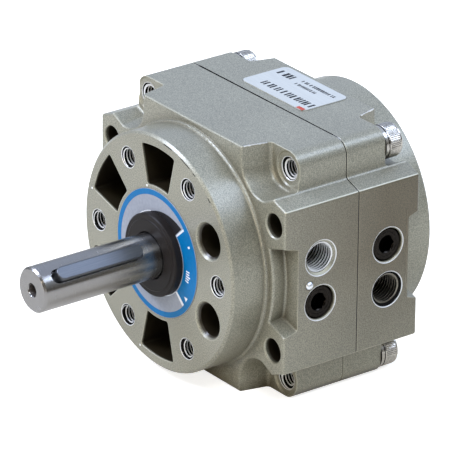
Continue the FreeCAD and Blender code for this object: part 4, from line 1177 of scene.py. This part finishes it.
class VANE_OT_nameplate(bpy.types.Operator):
    """Pale foil with rows of plain bars and a small red patch"""
    bl_idname = "vane.nameplate"
    bl_label = "Nameplate"

    def execute(self, context):
        settings = context.scene.vane_nameplate
        dress(foil(settings), "nameplate")
        low, high = (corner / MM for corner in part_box("nameplate"))
        rng = random.Random(3)
        marks = Shell()
        # Start along the plate, end, near edge, height, bar width and step of each row of plain bars.
        for start, end, near, height, wide, step in (
            (6.8, 35.0, 3.7, 3.3, 0.95, 1.5),
            (2.7, 12.5, 14.2, 3.4, 1.2, 2.0),
            (15.0, 34.0, 16.2, 1.5, 0.7, 1.1),
            (15.0, 27.0, 13.0, 1.4, 0.65, 1.0),
        ):
            x = low.x + start
            y = low.y + near
            while x < low.x + end:
                width = wide * rng.uniform(0.7, 1.2)
                marks.slab(rectangle(x, y, width, height), on_pad(high.z), -0.02, 0.03)
                x += step * rng.choice((1.0, 1.0, 1.0, 1.6))
        # Both inks are matt beside the bright foil, so they look flat.
        dark_ink = printed("nameplate_dark_ink", srgb("#17191e"))
        marks.build("nameplate_bars", dark_ink, "housing")
        patch = Shell()
        corners = rectangle(low.x + PATCH_CORNER[0], low.y + PATCH_CORNER[1], *PATCH_SIZE)
        patch.slab(corners, on_pad(high.z), -0.02, 0.03)
        red_ink = printed("nameplate_red_ink", settings.red)
        patch.build("nameplate_patch", red_ink, "housing")
        return {"FINISHED"}


class VANE_OT_studio(bpy.types.Operator):
    """Pale floor, soft lamps and the camera at the photograph's angle"""
    bl_idname = "vane.studio"
    bl_label = "Studio"

    def execute(self, context):
        settings = context.scene.vane_studio
        scene = context.scene
        scene.view_settings.view_transform = "Standard"
        scene.world = studio_world(settings.world_light)
        lay_floor(scene)
        hang_lamps(scene, settings.key_light)
        stand_camera(scene, settings)
        return {"FINISHED"}


class VANE_PT_panel(bpy.types.Panel):
    """Lists the settings and the pieces"""
    bl_label = "Vane Actuator"
    bl_idname = "VANE_PT_panel"
    bl_space_type = "VIEW_3D"
    bl_region_type = "UI"
    bl_category = "Vane Actuator"

    def draw(self, context):
        for group in GROUPS:
            box = self.layout.box()
            settings = getattr(context.scene, group)
            for key in settings.bl_rna.properties.keys():
                if key not in ("rna_type", "name"):
                    box.prop(settings, key)
        for operator in OPERATORS:
            self.layout.operator(operator.bl_idname)


GROUPS = {
    "vane_castings": CastingSettings,
    "vane_threads": ThreadSettings,
    "vane_bolts": BoltSettings,
    "vane_dial": DialSettings,
    "vane_nameplate": NameplateSettings,
    "vane_studio": StudioSettings,
}
OPERATORS = (
    VANE_OT_castings,
    VANE_OT_screw_threads,
    VANE_OT_port_threads,
    VANE_OT_port_plugs,
    VANE_OT_tie_bolts,
    VANE_OT_shaft,
    VANE_OT_bearings,
    VANE_OT_caps,
    VANE_OT_dial,
    VANE_OT_nameplate,
    VANE_OT_studio,
)


def register():
    for cls in (*GROUPS.values(), *OPERATORS, VANE_PT_panel):
        bpy.utils.register_class(cls)
    for name, cls in GROUPS.items():
        setattr(bpy.types.Scene, name, PointerProperty(type=cls))


def unregister():
    for name in GROUPS:
        delattr(bpy.types.Scene, name)
    for cls in reversed((*GROUPS.values(), *OPERATORS, VANE_PT_panel)):
        bpy.utils.unregister_class(cls)


def main():
    register()
    for cls in OPERATORS:
        group, name = cls.bl_idname.split(".")
        getattr(getattr(bpy.ops, group), name)()


if __name__ == "__main__":
    main()
